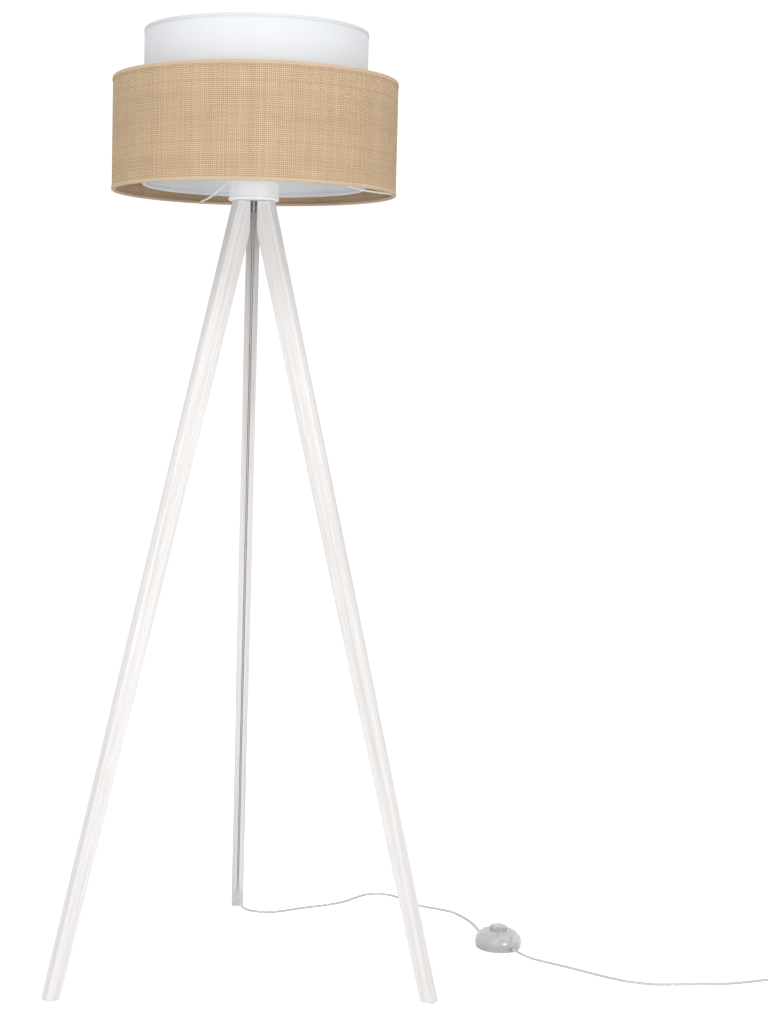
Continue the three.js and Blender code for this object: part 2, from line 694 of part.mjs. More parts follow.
function caseShape() {
  const outside = caseOutline(0);
  const inside = caseOutline(SWITCH_WALL).reverse();
  const shell = turned([...outside, ...inside]);
  const envelope = turned([[0, SWITCH_BASE_Z], ...outside, [0, SWITCH_TOP_Z]]);
  const bosses = [-1, 1].map((side) => common(rod(
    CASE_BOSS_R, switchFloorZ + GAP, SWITCH_TOP_Z, 12,
  ).translate(0, side * CASE_SCREW_DISTANCE, 0), envelope));
  const half = inletWidth / 2;
  const [low, high] = [SWITCH_INLET_Z - inletHeight / 2, SWITCH_INLET_Z + inletHeight / 2];
  const inlets = block(-SWITCH_R - 5, SWITCH_R + 5, -half, half, low, high);
  const screwHoles = [-1, 1].map((side) => rod(
    CASE_SCREW_R + GAP, 0, SWITCH_TOP_Z - 12, 10,
  ).translate(0, side * CASE_SCREW_DISTANCE, 0));
  return cut(join([shell, ...bosses]), [inlets, ...screwHoles]);
}

function baseShape() {
  const r = SWITCH_R - SWITCH_WALL - 1.5 - GAP;
  const plate = rod(r, SWITCH_BASE_Z, switchFloorZ, MEDIUM);
  const holes = [-1, 1].map((side) => rod(
    CASE_SCREW_R + GAP, 0, switchFloorZ + 1, 10,
  ).translate(0, side * CASE_SCREW_DISTANCE, 0));
  const heads = [-1, 1].map((side) => rod(
    2 * CASE_SCREW_R + GAP, 0, SWITCH_BASE_Z + 1.3, 12,
  ).translate(0, side * CASE_SCREW_DISTANCE, 0));
  return cut(plate, [...holes, ...heads]);
}

add('switch_case', caseShape(), clearPlastic(), footSwitch);
add('switch_base', baseShape(), clearPlastic(), footSwitch);
add('switch_foot_pad', hollowDrum(
  CASE_SCREW_DISTANCE - 4, 8, 0, SWITCH_BASE_Z - GAP, MEDIUM,
), paint(0xdcdcda, 0.9), footSwitch);

[1, 2].forEach((number) => {
  const side = number === 1 ? -1 : 1;
  const headZ = SWITCH_BASE_Z + 0.2;
  const screw = turned([
    [0, headZ], [2 * CASE_SCREW_R, headZ], [2 * CASE_SCREW_R, headZ + 0.8],
    [CASE_SCREW_R, headZ + 0.8], [CASE_SCREW_R, SWITCH_TOP_Z - 14], [0, SWITCH_TOP_Z - 13],
  ], 10);
  const placed = screw.translate(0, side * CASE_SCREW_DISTANCE, 0);
  add(`case_screw_${number}`, placed, zincSteel(), footSwitch);
});

// the push button: a ribbed cap with a stop flange under the case's roof
function buttonShape() {
  const inner = BUTTON_R - BUTTON_WALL;
  const flangeR = buttonHoleR + 1.4;
  const cap = turned([
    [inner, BUTTON_SKIRT_Z], [flangeR, BUTTON_SKIRT_Z], [flangeR, flangeTopZ],
    [BUTTON_R, flangeTopZ], [BUTTON_R, BUTTON_TOP_Z - 0.8], [BUTTON_R - 0.8, BUTTON_TOP_Z],
    [0, BUTTON_TOP_Z + 0.6], [0, buttonTopInside], [inner, buttonTopInside],
  ]);
  const ribs = Array.from({ length: BUTTON_RIBS }, (_, i) => {
    const groove = rod(0.8, flangeTopZ + 2.5, BUTTON_TOP_Z + 1, 4).translate(BUTTON_R + 0.2, 0, 0);
    return groove.rotateZ((2 * Math.PI * (i + 0.5)) / BUTTON_RIBS);
  });
  return cut(cap, ribs);
}

function springShape() {
  const z0 = BLOCK_TOP_Z + GAP + SPRING_WIRE_R;
  const z1 = buttonTopInside - GAP - SPRING_WIRE_R;
  const points = [];
  const perTurn = 8;
  for (let i = 0; i <= SPRING_TURNS * perTurn; i += 1) {
    const share = i / (SPRING_TURNS * perTurn);
    const a = (2 * Math.PI * i) / perTurn;
    const r = SPRING_FOOT_R + (SPRING_HEAD_R - SPRING_FOOT_R) * share;
    points.push([r * Math.cos(a), r * Math.sin(a), z0 + (z1 - z0) * share]);
  }
  return roundTube(curveThrough(points), SPRING_WIRE_R, 4, SPRING_TURNS * perTurn);
}

const plungerFootZ = BLOCK_TOP_Z - 3;
const blockZ = switchFloorZ + GAP;

function blockShape() {
  const [halfLength, halfWidth] = [BLOCK_LENGTH / 2, BLOCK_WIDTH / 2];
  const body = block(-halfLength, halfLength, -halfWidth, halfWidth, blockZ, BLOCK_TOP_Z);
  const well = rod(PLUNGER_R + 0.5, plungerFootZ - BUTTON_TRAVEL - 0.4, BLOCK_TOP_Z + 1, SMALL);
  return cut(body, [well]);
}

add('switch_button', buttonShape(), clearPlastic(), footSwitch);
add('button_plunger', rod(PLUNGER_R, plungerFootZ, buttonTopInside - GAP), zincSteel(), footSwitch);
add('button_spring', springShape(), zincSteel(), footSwitch);
add('contact_block', blockShape(), whitePlastic(), footSwitch);

// brass terminals on the ends of the block, each gripping one end of the flex
const terminalStart = BLOCK_LENGTH / 2 + GAP;
[1, 2].forEach((number) => {
  const side = number === 1 ? -1 : 1;
  const terminal = block(terminalStart, terminalStart + 3.5, -4, 4, blockZ, BLOCK_TOP_Z - 1);
  add(`switch_terminal_${number}`, terminal, brass(), turnedGroup(side < 0 ? 180 : 0, 0, 0, footSwitch));
});

// a clamp bar over the flex at each inlet
const clampZ = SWITCH_INLET_Z + FLEX_THICKNESS / 2 + GAP;
[1, 2].forEach((number) => {
  const angle = number === 1 ? 180 : 0;
  const bar = slab([
    [CLAMP_DISTANCE - 2.5, clampZ], [CLAMP_DISTANCE + 2.5, clampZ],
    [CLAMP_DISTANCE + 1.8, clampZ + 3], [CLAMP_DISTANCE - 1.8, clampZ + 3],
  ], 14);
  add(`flex_clamp_${number}`, bar, whitePlastic(), turnedGroup(angle, 0, 0, footSwitch));
});

// ---------- free flex: leg to switch ----------
const switchAngle = THREE.MathUtils.degToRad(SWITCH_TURN);
const switchPoint = (distance, z) => [
  SWITCH_X + distance * Math.cos(switchAngle), SWITCH_Y + distance * Math.sin(switchAngle), z,
];
const flexInSwitch = BLOCK_LENGTH / 2 + 4.2;

// a point past the end of the slotted flex, straight on from it
const slotEnd = innerFlex.getPoint(1);
const slotHeading = innerFlex.getTangent(1);
function pastTheLeg(distance) {
  const point = slotEnd.clone().addScaledVector(slotHeading, distance);
  return point.applyAxisAngle(upwards, THREE.MathUtils.degToRad(LEG_TURN)).toArray();
}

const legToSwitchRoute = [
  pastTheLeg(GAP),
  [-4.6, 280.2, 18.5],
  [-3, 277.7, 12.6],
  [0, 274.4, 7.8],
  [4.4, 270.6, 4.2],
  [9.6, 266.9, 2.2],
  [15.6, 263, FLEX_FLOOR_Z],
  [23.5, 259.3, FLEX_FLOOR_Z],
  [32, 256.6, FLEX_FLOOR_Z],
  [42, 255.2, FLEX_FLOOR_Z],
  [53, 256.8, FLEX_FLOOR_Z],
  [68, 263, FLEX_FLOOR_Z],
  [84, 272, FLEX_FLOOR_Z],
  [112, 286, FLEX_FLOOR_Z],
  [140, 299, FLEX_FLOOR_Z],
  [166, 316, FLEX_FLOOR_Z],
  [187, 339, FLEX_FLOOR_Z],
  [206, 359, FLEX_FLOOR_Z],
  [226, 366, FLEX_FLOOR_Z],
  [246, 360, FLEX_FLOOR_Z],
  [262, 343, FLEX_FLOOR_Z],
  [277, 319, FLEX_FLOOR_Z],
  [296, 299, FLEX_FLOOR_Z],
  [318, 285, FLEX_FLOOR_Z],
  [339, 270, FLEX_FLOOR_Z],
  [353, 247, FLEX_FLOOR_Z],
  [362.5, 222, FLEX_FLOOR_Z],
  [368, 196, FLEX_FLOOR_Z + 0.7],
  [370, 171, 4],
  [370.6, 150, 6.6],
  switchPoint(-SWITCH_R - 4, SWITCH_INLET_Z),
  switchPoint(-SWITCH_R + 8, SWITCH_INLET_Z),
  switchPoint(-flexInSwitch, SWITCH_INLET_Z),
];
const legToSwitch = curveThrough(legToSwitchRoute);
add('flex_to_switch', flexTube(legToSwitch, 60, upwards), clearFlex(), trailing);

// ---------- free flex: switch to coil ----------
const coilOuterTurnR = COIL_MIDDLE_R + (turnPitchAcross * (COIL_COLUMNS - 1)) / 2;
const coilHalfWidth = (turnPitchAcross * COIL_COLUMNS) / 2;
const coilHeight = turnPitchUp * COIL_LAYERS;
const coilBottomTurnZ = COIL_FLOOR + turnPitchUp / 2;
const coilTopTurnZ = coilBottomTurnZ + turnPitchUp * (COIL_LAYERS - 1);
const switchToCoilRoute = [
  switchPoint(flexInSwitch, SWITCH_INLET_Z),
  switchPoint(SWITCH_R - 8, SWITCH_INLET_Z),
  switchPoint(SWITCH_R + 4, SWITCH_INLET_Z),
  [418, 51.5, 6],
  [428.5, 42, 3.6],
  [441.5, 33, FLEX_FLOOR_Z + 0.4],
  [458, 21.5, FLEX_FLOOR_Z],
  [478, 6, FLEX_FLOOR_Z],
  [504, -16, FLEX_FLOOR_Z],
  [530, -38, FLEX_FLOOR_Z],
  [560, -58, FLEX_FLOOR_Z],
  [595, -68, FLEX_FLOOR_Z],
  [635, -67, FLEX_FLOOR_Z],
  [676, -64, FLEX_FLOOR_Z],
  [706, -61, FLEX_FLOOR_Z],
  [738, -52, FLEX_FLOOR_Z],
  [768, -42, FLEX_FLOOR_Z],
  [790, -36.5, FLEX_FLOOR_Z + 0.3],
  [804.5, -34.6, coilBottomTurnZ],
];
const switchToCoil = curveThrough(switchToCoilRoute);
add('flex_to_coil', flexTube(switchToCoil, 36, upwards), clearFlex(), trailing);

// ---------- coil, its tie, and the lead to the plug ----------
const coil = turnedGroup(0, COIL_X, COIL_Y, trailing);
add('flex_coil', turned([
  [COIL_MIDDLE_R - coilHalfWidth, COIL_FLOOR], [COIL_MIDDLE_R + coilHalfWidth, COIL_FLOOR],
  [COIL_MIDDLE_R + coilHalfWidth, COIL_FLOOR + coilHeight],
  [COIL_MIDDLE_R - coilHalfWidth, COIL_FLOOR + coilHeight],
], MEDIUM), clearFlex(), coil);

function tieShape() {
  const play = 0.35;
  const [low, high] = [COIL_MIDDLE_R - coilHalfWidth - play, COIL_MIDDLE_R + coilHalfWidth + play];
  const [bottom, top] = [COIL_FLOOR - play, COIL_FLOOR + coilHeight + play];
  const t = TIE_THICKNESS;
  const outer = slab([
    [low - t, bottom - t], [high + t, bottom - t], [high + t, top + t], [low - t, top + t],
  ], TIE_WIDTH);
  const inner = slab([[low, bottom], [high, bottom], [high, top], [low, top]], TIE_WIDTH + 2);
  return cut(outer, [inner]);
}

add('coil_tie', tieShape(), paint(0xf0f0ee, 0.5), turnedGroup(120, 0, 0, coil));

const leadX = COIL_X + coilOuterTurnR;
const reliefStartY = COIL_Y + 46;
const plugZ = PLUG_THICKNESS / 2 + 0.2;
const coilOuterR = COIL_MIDDLE_R + coilHalfWidth;
const leadInsideX = coilOuterTurnR - FLEX_WIDTH / 2;
const leadStartY = Math.sqrt(coilOuterR ** 2 - leadInsideX ** 2) + 2 * GAP;
const plugLeadRoute = [
  [leadX, COIL_Y + leadStartY, coilTopTurnZ],
  [leadX, COIL_Y + leadStartY + 12, plugZ],
  [leadX, reliefStartY - GAP, plugZ],
];
add('plug_lead', flexTube(curveThrough(plugLeadRoute), 8, upwards), clearFlex(), trailing);

// ---------- plug: its length runs along +Y from the strain relief ----------
const plug = turnedGroup(0, leadX, 0, trailing);
const reliefEndY = reliefStartY + PLUG_RELIEF_LENGTH;
const plugFaceY = reliefEndY + GAP + PLUG_LENGTH;

// a body with the given half widths at each distance along the plug, eased at the corners
function taperedBody(sections) {
  const rings = sections.map(([y, halfWidth, halfHeight, corner]) => {
    const [w, h, c] = [halfWidth, halfHeight, corner];
    return [
      [w, h - c], [w - c, h], [c - w, h], [-w, h - c],
      [-w, c - h], [c - w, -h], [w - c, -h], [w, c - h],
    ].map(([x, z]) => [x, y, z + plugZ]);
  });
  const sides = rings[0].length;
  const vertices = rings.flat().flat();
  const faces = [];
  for (let i = 0; i < rings.length - 1; i += 1) {
    for (let k = 0; k < sides; k += 1) {
      const a = i * sides + k;
      const b = i * sides + ((k + 1) % sides);
      faces.push(a, b, a + sides, b, b + sides, a + sides);
    }
  }
  const last = (rings.length - 1) * sides;
  for (let k = 1; k < sides - 1; k += 1) {
    faces.push(0, k + 1, k, last, last + k, last + k + 1);
  }
  const geometry = new THREE.BufferGeometry();
  geometry.setAttribute('position', new THREE.Float32BufferAttribute(vertices, 3));
  geometry.setIndex(faces);
  return tidy(geometry);
}

const [plugHalfWidth, plugHalfHeight] = [PLUG_WIDTH / 2, PLUG_THICKNESS / 2];
const plugBody = taperedBody([
  [reliefEndY + GAP, plugHalfWidth * 0.42, plugHalfHeight * 0.8, 1.5],
  [reliefEndY + PLUG_LENGTH * 0.35, plugHalfWidth * 0.72, plugHalfHeight, 2.5],
  [reliefEndY + PLUG_LENGTH * 0.7, plugHalfWidth, plugHalfHeight, 2.5],
  [plugFaceY, plugHalfWidth, plugHalfHeight, 2.5],
]);
const pinHole = (x) => tidy(
  new THREE.CylinderGeometry(PIN_R + GAP, PIN_R + GAP, 16, SMALL)
    .translate(x, plugFaceY, plugZ),
);
add('plug_body', cut(plugBody, [-1, 1].map((side) => pinHole((side * PIN_SPACING) / 2))),
  paint(0xeeeeec, 0.4), plug);
add('plug_relief', taperedBody([
  [reliefStartY, FLEX_WIDTH / 2 + 0.7, FLEX_THICKNESS / 2 + 0.8, 1],
  [reliefEndY, plugHalfWidth * 0.38, plugHalfHeight * 0.68, 1.5],
]), paint(0xeeeeec, 0.4), plug);

[1, 2].forEach((number) => {
  const side = number === 1 ? -1 : 1;
  const inside = 7;
  const pin = new THREE.CylinderGeometry(PIN_R, PIN_R, PIN_LENGTH + inside, SMALL);
  const middleY = plugFaceY + (PIN_LENGTH - inside) / 2;
  add(`plug_pin_${number}`, tidy(pin.translate((side * PIN_SPACING) / 2, middleY, plugZ)), brass(), plug);
});

// ---------- origin: on the floor, under the middle of the lamp's own box ----------
const footprint = new THREE.Box3().setFromObject(standing, true);
const middle = footprint.getCenter(new THREE.Vector3());
standing.position.set(-middle.x, -middle.y, 0);
trailing.position.copy(standing.position);

export default lamp;
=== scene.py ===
"""A tripod floor lamp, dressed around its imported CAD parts.

Three lacquered timber legs stand under a turned hub. A screw lampholder in the hub carries a
wire spider with a white inner drum and a wider jute drum. A clear flat flex runs down a slot in
the rear leg to a clear foot switch, and from there to a flat plug.
Metres, +Z up. Sizes in the tables below are millimetres from the hub's upright axis and the floor.
"""
import math

import bmesh
import bpy
from mathutils import Matrix, Vector


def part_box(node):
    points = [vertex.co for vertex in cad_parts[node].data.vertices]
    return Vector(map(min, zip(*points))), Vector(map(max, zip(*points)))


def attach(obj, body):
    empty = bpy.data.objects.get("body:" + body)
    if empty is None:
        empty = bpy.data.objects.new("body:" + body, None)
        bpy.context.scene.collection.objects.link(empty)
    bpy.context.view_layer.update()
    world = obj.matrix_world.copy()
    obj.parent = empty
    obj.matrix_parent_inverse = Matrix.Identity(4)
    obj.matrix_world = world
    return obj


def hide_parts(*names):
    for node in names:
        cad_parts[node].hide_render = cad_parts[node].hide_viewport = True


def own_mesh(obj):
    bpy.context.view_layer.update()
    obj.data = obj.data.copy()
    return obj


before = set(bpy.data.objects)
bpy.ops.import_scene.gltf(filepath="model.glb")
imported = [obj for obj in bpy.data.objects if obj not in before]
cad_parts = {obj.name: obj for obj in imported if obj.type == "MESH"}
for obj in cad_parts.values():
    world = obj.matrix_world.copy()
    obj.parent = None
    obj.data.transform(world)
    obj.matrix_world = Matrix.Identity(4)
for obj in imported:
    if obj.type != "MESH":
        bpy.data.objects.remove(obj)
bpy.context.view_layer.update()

MM = 0.001
UP = Vector((0, 0, 1))


def middle(node):
    low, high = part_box(node)
    return (low + high) / 2


def height(node):
    """The lowest and highest level of a CAD node, in millimetres."""
    low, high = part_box(node)
    return low.z / MM, high.z / MM


AXIS = Vector((middle("hub").x, middle("hub").y, 0))


def at(x, y, z):
    """A point given in millimetres from the hub's axis on the floor."""
    return AXIS + Vector((x, y, z)) * MM


# ---------- camera ----------
CAMERA_PLACE = (0, -2639.6, 881.6)
CAMERA_TURN, CAMERA_RISE, CAMERA_ROLL = -1.62, -4.686, 1.222
LENS = 65.02


def stand_camera():
    """The camera in front of the lamp, a little below the shade, in degrees and millimetres."""
    data = bpy.data.cameras.new("camera")
    data.sensor_width = 36
    data.lens = LENS
    data.shift_x = 0.082
    data.clip_start = 0.05
    camera = bpy.data.objects.new("camera", data)
    turn = Matrix.Rotation(math.radians(CAMERA_TURN), 3, "Z")
    tilt = Matrix.Rotation(math.radians(90 + CAMERA_RISE), 3, "X")
    roll = Matrix.Rotation(math.radians(CAMERA_ROLL), 3, "Z")
    camera.location = at(*CAMERA_PLACE)
    camera.rotation_euler = (turn @ tilt @ roll).to_euler()
    bpy.context.scene.collection.objects.link(camera)
    bpy.context.scene.camera = camera


stand_camera()


# ---------- nodes and materials ----------
def linear(hex_colour):
    """An sRGB hex colour as linear RGBA."""
    parts = [int(hex_colour[i:i + 2], 16) / 255 for i in (1, 3, 5)]
    return [c / 12.92 if c <= 0.04045 else ((c + 0.055) / 1.055) ** 2.4 for c in parts] + [1.0]


def add_node(tree, kind, inputs=None, **settings):
    """A node with its settings; an input that is a node or a socket is linked."""
    node = tree.nodes.new(kind)
    for key, value in settings.items():
        setattr(node, key, value)
    for key, value in (inputs or {}).items():
        source = value.outputs[0] if isinstance(value, bpy.types.Node) else value
        if isinstance(source, bpy.types.NodeSocket):
            tree.links.new(source, node.inputs[key])
        else:
            node.inputs[key].default_value = source
    return node


def new_material(name, colour, roughness, **constants):
    """A material with its Principled shader's fixed values, its tree and that shader."""
    material = bpy.data.materials.new(name)
    material.use_nodes = True
    material.diffuse_color = linear(colour)
    tree = material.node_tree
    shader = tree.nodes["Principled BSDF"]
    shader.inputs["Base Color"].default_value = linear(colour)
    shader.inputs["Roughness"].default_value = roughness
    for key, value in constants.items():
        shader.inputs[key.replace("_", " ")].default_value = value
    return material, tree, shader


def blotched(tree, shader, place, size, dark, light, bump, roughness=None):
    """Noise of that grain size in metres, over the shader's colour, height and roughness."""
    noise = add_node(tree, "ShaderNodeTexNoise", {
        "Vector": place, "Scale": 1 / size, "Detail": 3.0, "Roughness": 0.55})
    ramp = add_node(tree, "ShaderNodeValToRGB", {"Fac": noise})
    ramp.color_ramp.elements[0].position = 0.3
    ramp.color_ramp.elements[1].position = 0.7
    ramp.color_ramp.elements[0].color = linear(dark)
    ramp.color_ramp.elements[1].color = linear(light)
    tree.links.new(ramp.outputs[0], shader.inputs["Base Color"])
    relief = add_node(tree, "ShaderNodeBump", {
        "Height": noise, "Strength": 0.6, "Distance": bump})
    tree.links.new(relief.outputs[0], shader.inputs["Normal"])
    if roughness:
        spread = add_node(tree, "ShaderNodeMapRange", {
            "Value": noise, "To Min": roughness[0], "To Max": roughness[1]})
        tree.links.new(spread.outputs[0], shader.inputs["Roughness"])
    return noise


def plain_finish(name, colour, dark, light, size, bump, roughness, **constants):
    """A moulded, coated or plated finish whose only pattern is its fine surface grain."""
    material, tree, shader = new_material(name, colour, sum(roughness) / 2, **constants)
    place = add_node(tree, "ShaderNodeTexCoord").outputs["Object"]
    blotched(tree, shader, place, size, dark, light, bump, roughness)
    return material


def lacquered_timber(name, turn, pore, lacquer):
    """Timber under satin white lacquer: long shallow pores show as faint grey lines."""
    material, tree, shader = new_material(name, lacquer, 0.42, Specular_IOR_Level=0.4)
    place = add_node(tree, "ShaderNodeTexCoord").outputs["Object"]
    # pores 1.1 mm across the grain and about 60 mm along it, growth rings 7 mm apart
    pores_at = add_node(tree, "ShaderNodeMapping", {
        "Vector": place, "Rotation": turn, "Scale": (0.0011, 0.0011, 0.06)}, vector_type="TEXTURE")
    rings_at = add_node(tree, "ShaderNodeMapping", {
        "Vector": place, "Rotation": turn, "Scale": (0.007, 0.007, 0.5)}, vector_type="TEXTURE")
    pores = add_node(tree, "ShaderNodeTexNoise", {
        "Vector": pores_at, "Scale": 1.0, "Detail": 4.0, "Roughness": 0.65})
    rings = add_node(tree, "ShaderNodeTexNoise", {
        "Vector": rings_at, "Scale": 1.0, "Detail": 2.0, "Roughness": 0.5, "Distortion": 0.4})
    grain = add_node(tree, "ShaderNodeMath", {0: pores, 1: rings}, operation="MULTIPLY")
    ramp = add_node(tree, "ShaderNodeValToRGB", {"Fac": grain})
    for element, (place_on, colour) in zip(
        ramp.color_ramp.elements, [(0.13, pore), (0.3, lacquer)]
    ):
        element.position = place_on
        element.color = linear(colour)
    relief = add_node(tree, "ShaderNodeBump",
                      {"Height": grain, "Strength": 0.7, "Distance": 0.0004})
    gloss = add_node(tree, "ShaderNodeMapRange", {"Value": grain, "To Min": 0.5, "To Max": 0.34})
    tree.links.new(ramp.outputs[0], shader.inputs["Base Color"])
    tree.links.new(relief.outputs[0], shader.inputs["Normal"])
    tree.links.new(gloss.outputs[0], shader.inputs["Roughness"])
    return material


def weave(tree, pitch, wander):
    """A plain weave over the piece's cloth map: its height, and the tone of the thread on top."""
    cloth = add_node(tree, "ShaderNodeUVMap", uv_map="cloth")
    slubs = add_node(tree, "ShaderNodeTexNoise",
                     {"Vector": cloth, "Scale": 1 / 0.009, "Detail": 2.0})
    wandered = add_node(tree, "ShaderNodeVectorMath", {
        0: slubs.outputs["Color"], 1: (wander, wander, 0), 2: cloth}, operation="MULTIPLY_ADD")
    counted = add_node(tree, "ShaderNodeVectorMath", {
        0: wandered, 1: (1 / pitch, 1 / pitch, 0)}, operation="MULTIPLY")
    across = add_node(tree, "ShaderNodeSeparateXYZ", {0: counted})
    waves, tones = [], []
    for axis in ("X", "Y"):
        phase = add_node(tree, "ShaderNodeMath", {
            0: across.outputs[axis], 1: math.pi}, operation="MULTIPLY")
        waves.append(add_node(tree, "ShaderNodeMath", {0: phase}, operation="SINE"))
        count = add_node(tree, "ShaderNodeMath", {0: across.outputs[axis]}, operation="FLOOR")
        tones.append(add_node(tree, "ShaderNodeTexWhiteNoise", {"W": count}, noise_dimensions="1D"))
    crossing = add_node(tree, "ShaderNodeMath", {0: waves[0], 1: waves[1]}, operation="MULTIPLY")
    threads = []
    for wave, lift in zip(waves, (0.45, -0.45)):
        hump = add_node(tree, "ShaderNodeMath", {0: wave}, operation="ABSOLUTE")
        half = add_node(tree, "ShaderNodeMath", {0: hump, 1: 0.55}, operation="MULTIPLY")
        threads.append(add_node(tree, "ShaderNodeMath", {
            0: crossing, 1: lift, 2: half}, operation="MULTIPLY_ADD"))
    top = add_node(tree, "ShaderNodeMath", {0: threads[0], 1: threads[1]}, operation="MAXIMUM")
    warp_over = add_node(tree, "ShaderNodeMath", {
        0: threads[0], 1: threads[1]}, operation="GREATER_THAN")
    tone = add_node(tree, "ShaderNodeMix", {
        "Factor": warp_over, "A": tones[1].outputs["Value"], "B": tones[0].outputs["Value"]})
    return top, tone, cloth


def woven_cloth(name, pitch, wander, shade_painted_colours, bump, roughness, through, mottle=(0.98, 1.01)):
    """Cloth in a plain weave. The three colours are the gap, the side and the top of a thread, the
    gap and the side darker as painted shade; through is the share of light that comes through the
    cloth."""
    material, tree, shader = new_material(name, shade_painted_colours[2], roughness, Specular_IOR_Level=0.2)
    top, tone, cloth = weave(tree, pitch, wander)
    # painted shade: the yarn's colour darkens from its top down its sides into the gaps
    ramp = add_node(tree, "ShaderNodeValToRGB", {"Fac": top})
    ramp.color_ramp.elements.new(0.5)
    for element, (place_on, colour) in zip(
        ramp.color_ramp.elements, zip((0.12, 0.42, 0.85), shade_painted_colours)
    ):
        element.position = place_on
        element.color = linear(colour)
    cloudy = add_node(tree, "ShaderNodeTexNoise",
                      {"Vector": cloth, "Scale": 1 / 0.03, "Detail": 4.0})
    mixed = add_node(tree, "ShaderNodeMath", {0: tone, 1: cloudy}, operation="ADD")
    shade = add_node(tree, "ShaderNodeMapRange", {
        "Value": mixed, "From Min": 0.4, "From Max": 1.6, "To Min": mottle[0], "To Max": mottle[1]})
    colour = add_node(tree, "ShaderNodeVectorMath", {0: ramp, "Scale": shade}, operation="SCALE")
    relief = add_node(tree, "ShaderNodeBump", {"Height": top, "Strength": 1.0, "Distance": bump})
    tree.links.new(colour.outputs[0], shader.inputs["Base Color"])
    tree.links.new(relief.outputs[0], shader.inputs["Normal"])
    glow = add_node(tree, "ShaderNodeBsdfTranslucent", {"Color": colour, "Normal": relief})
    both = add_node(tree, "ShaderNodeMixShader", {"Fac": through, 1: shader, 2: glow})
    tree.links.new(both.outputs[0], tree.nodes["Material Output"].inputs["Surface"])
    return material


def clear_plastic(name, tint, roughness, ior, clear, size, bump):
    """Clear moulded plastic with a milky share, and the faint ripple of its mould."""
    material, tree, shader = new_material(
        name, tint, roughness, Transmission_Weight=clear, IOR=ior)
    place = add_node(tree, "ShaderNodeTexCoord").outputs["Object"]
    ripple = add_node(tree, "ShaderNodeTexNoise",
                      {"Vector": place, "Scale": 1 / size, "Detail": 1.0})
    relief = add_node(tree, "ShaderNodeBump", {"Height": ripple, "Strength": 0.3, "Distance": bump})
    tree.links.new(relief.outputs[0], shader.inputs["Normal"])
    return material


# ---------- shapes ----------
def stand_in_scene(name, mesh):
    piece = bpy.data.objects.new(name, mesh)
    bpy.context.scene.collection.objects.link(piece)
    return piece


def circle(radius, count):
    """A round outline for a swept piece, from a radius in millimetres."""
    turns = [2 * math.pi * k / count for k in range(count)]
    return [(radius * MM * math.cos(a), radius * MM * math.sin(a)) for a in turns]


def new_piece(name, points, faces, material, smooth_under=35):
    """A mesh object from points in metres, with its faces turned outwards."""
    mesh = bpy.data.meshes.new(name)
    mesh.from_pydata(points, [], faces)
    shell = bmesh.new()
    shell.from_mesh(mesh)
    bmesh.ops.remove_doubles(shell, verts=shell.verts, dist=1e-7)
    bmesh.ops.recalc_face_normals(shell, faces=shell.faces)
    shell.to_mesh(mesh)
    shell.free()
    return finish_surface(stand_in_scene(name, mesh), material, smooth_under)


def finish_surface(piece, material, smooth_under=35):
    mesh = piece.data
    mesh.materials.clear()
    mesh.materials.append(material)
    mesh.polygons.foreach_set("use_smooth", [True] * len(mesh.polygons))
    mesh.set_sharp_from_angle(angle=math.radians(smooth_under))
    mesh.update()
    return piece


def fitted(piece, body, slot, *nodes):
    """The piece rides on its body and stands for those CAD nodes; slot is not used."""
    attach(piece, body)
    if nodes:
        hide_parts(*nodes)
    return piece


def eased(outline, ease, steps=3, closed=True):
    """The outline with its corners rounded, each starting that far along its two sides."""
    corners = [Vector(p) for p in outline]
    rounded = []
    for i, corner in enumerate(corners):
        before, after = corners[i - 1], corners[(i + 1) % len(corners)]
        if not closed and i in (0, len(corners) - 1):
            rounded.append(corner)
            continue
        back, on = before - corner, after - corner
        reach = min(ease, back.length * 0.45, on.length * 0.45)
        start, end = corner + back.normalized() * reach, corner + on.normalized() * reach
        for k in range(steps + 1):
            t = k / steps
            rounded.append(start * (1 - t) ** 2 + corner * 2 * t * (1 - t) + end * t ** 2)
    return rounded


def lathe(name, profile, material, steps=96, centre=None, ease=0.0, smooth_under=35):
    """A piece turned from a profile of (radius, height) in millimetres. A profile that starts and
    ends on the axis is solid there; any other is closed on itself, as a ring is."""
    solid = profile[0][0] == 0 and profile[-1][0] == 0
    outline = eased(profile, ease, closed=not solid) if ease else [Vector(p) for p in profile]
    centre = AXIS if centre is None else centre
    points, rows = [], []
    for radius, level in outline:
        count = 1 if radius < 1e-6 else steps
        rows.append([len(points) + k % count for k in range(steps)])
        for k in range(count):
            a = 2 * math.pi * k / steps
            spoke = Vector((radius * math.cos(a), radius * math.sin(a), level)) * MM
            points.append(Vector((centre.x, centre.y, 0)) + spoke)
    pairs = list(zip(rows, rows[1:])) + ([] if solid else [(rows[-1], rows[0])])
    faces = []
    for low, high in pairs:
        for k in range(steps):
            n = (k + 1) % steps
            ring = [low[k], low[n], high[n], high[k]]
            face = [v for i, v in enumerate(ring) if v != ring[i - 1]]
            if len(face) > 2:
                faces.append(face)
    return new_piece(name, points, faces, material, smooth_under)


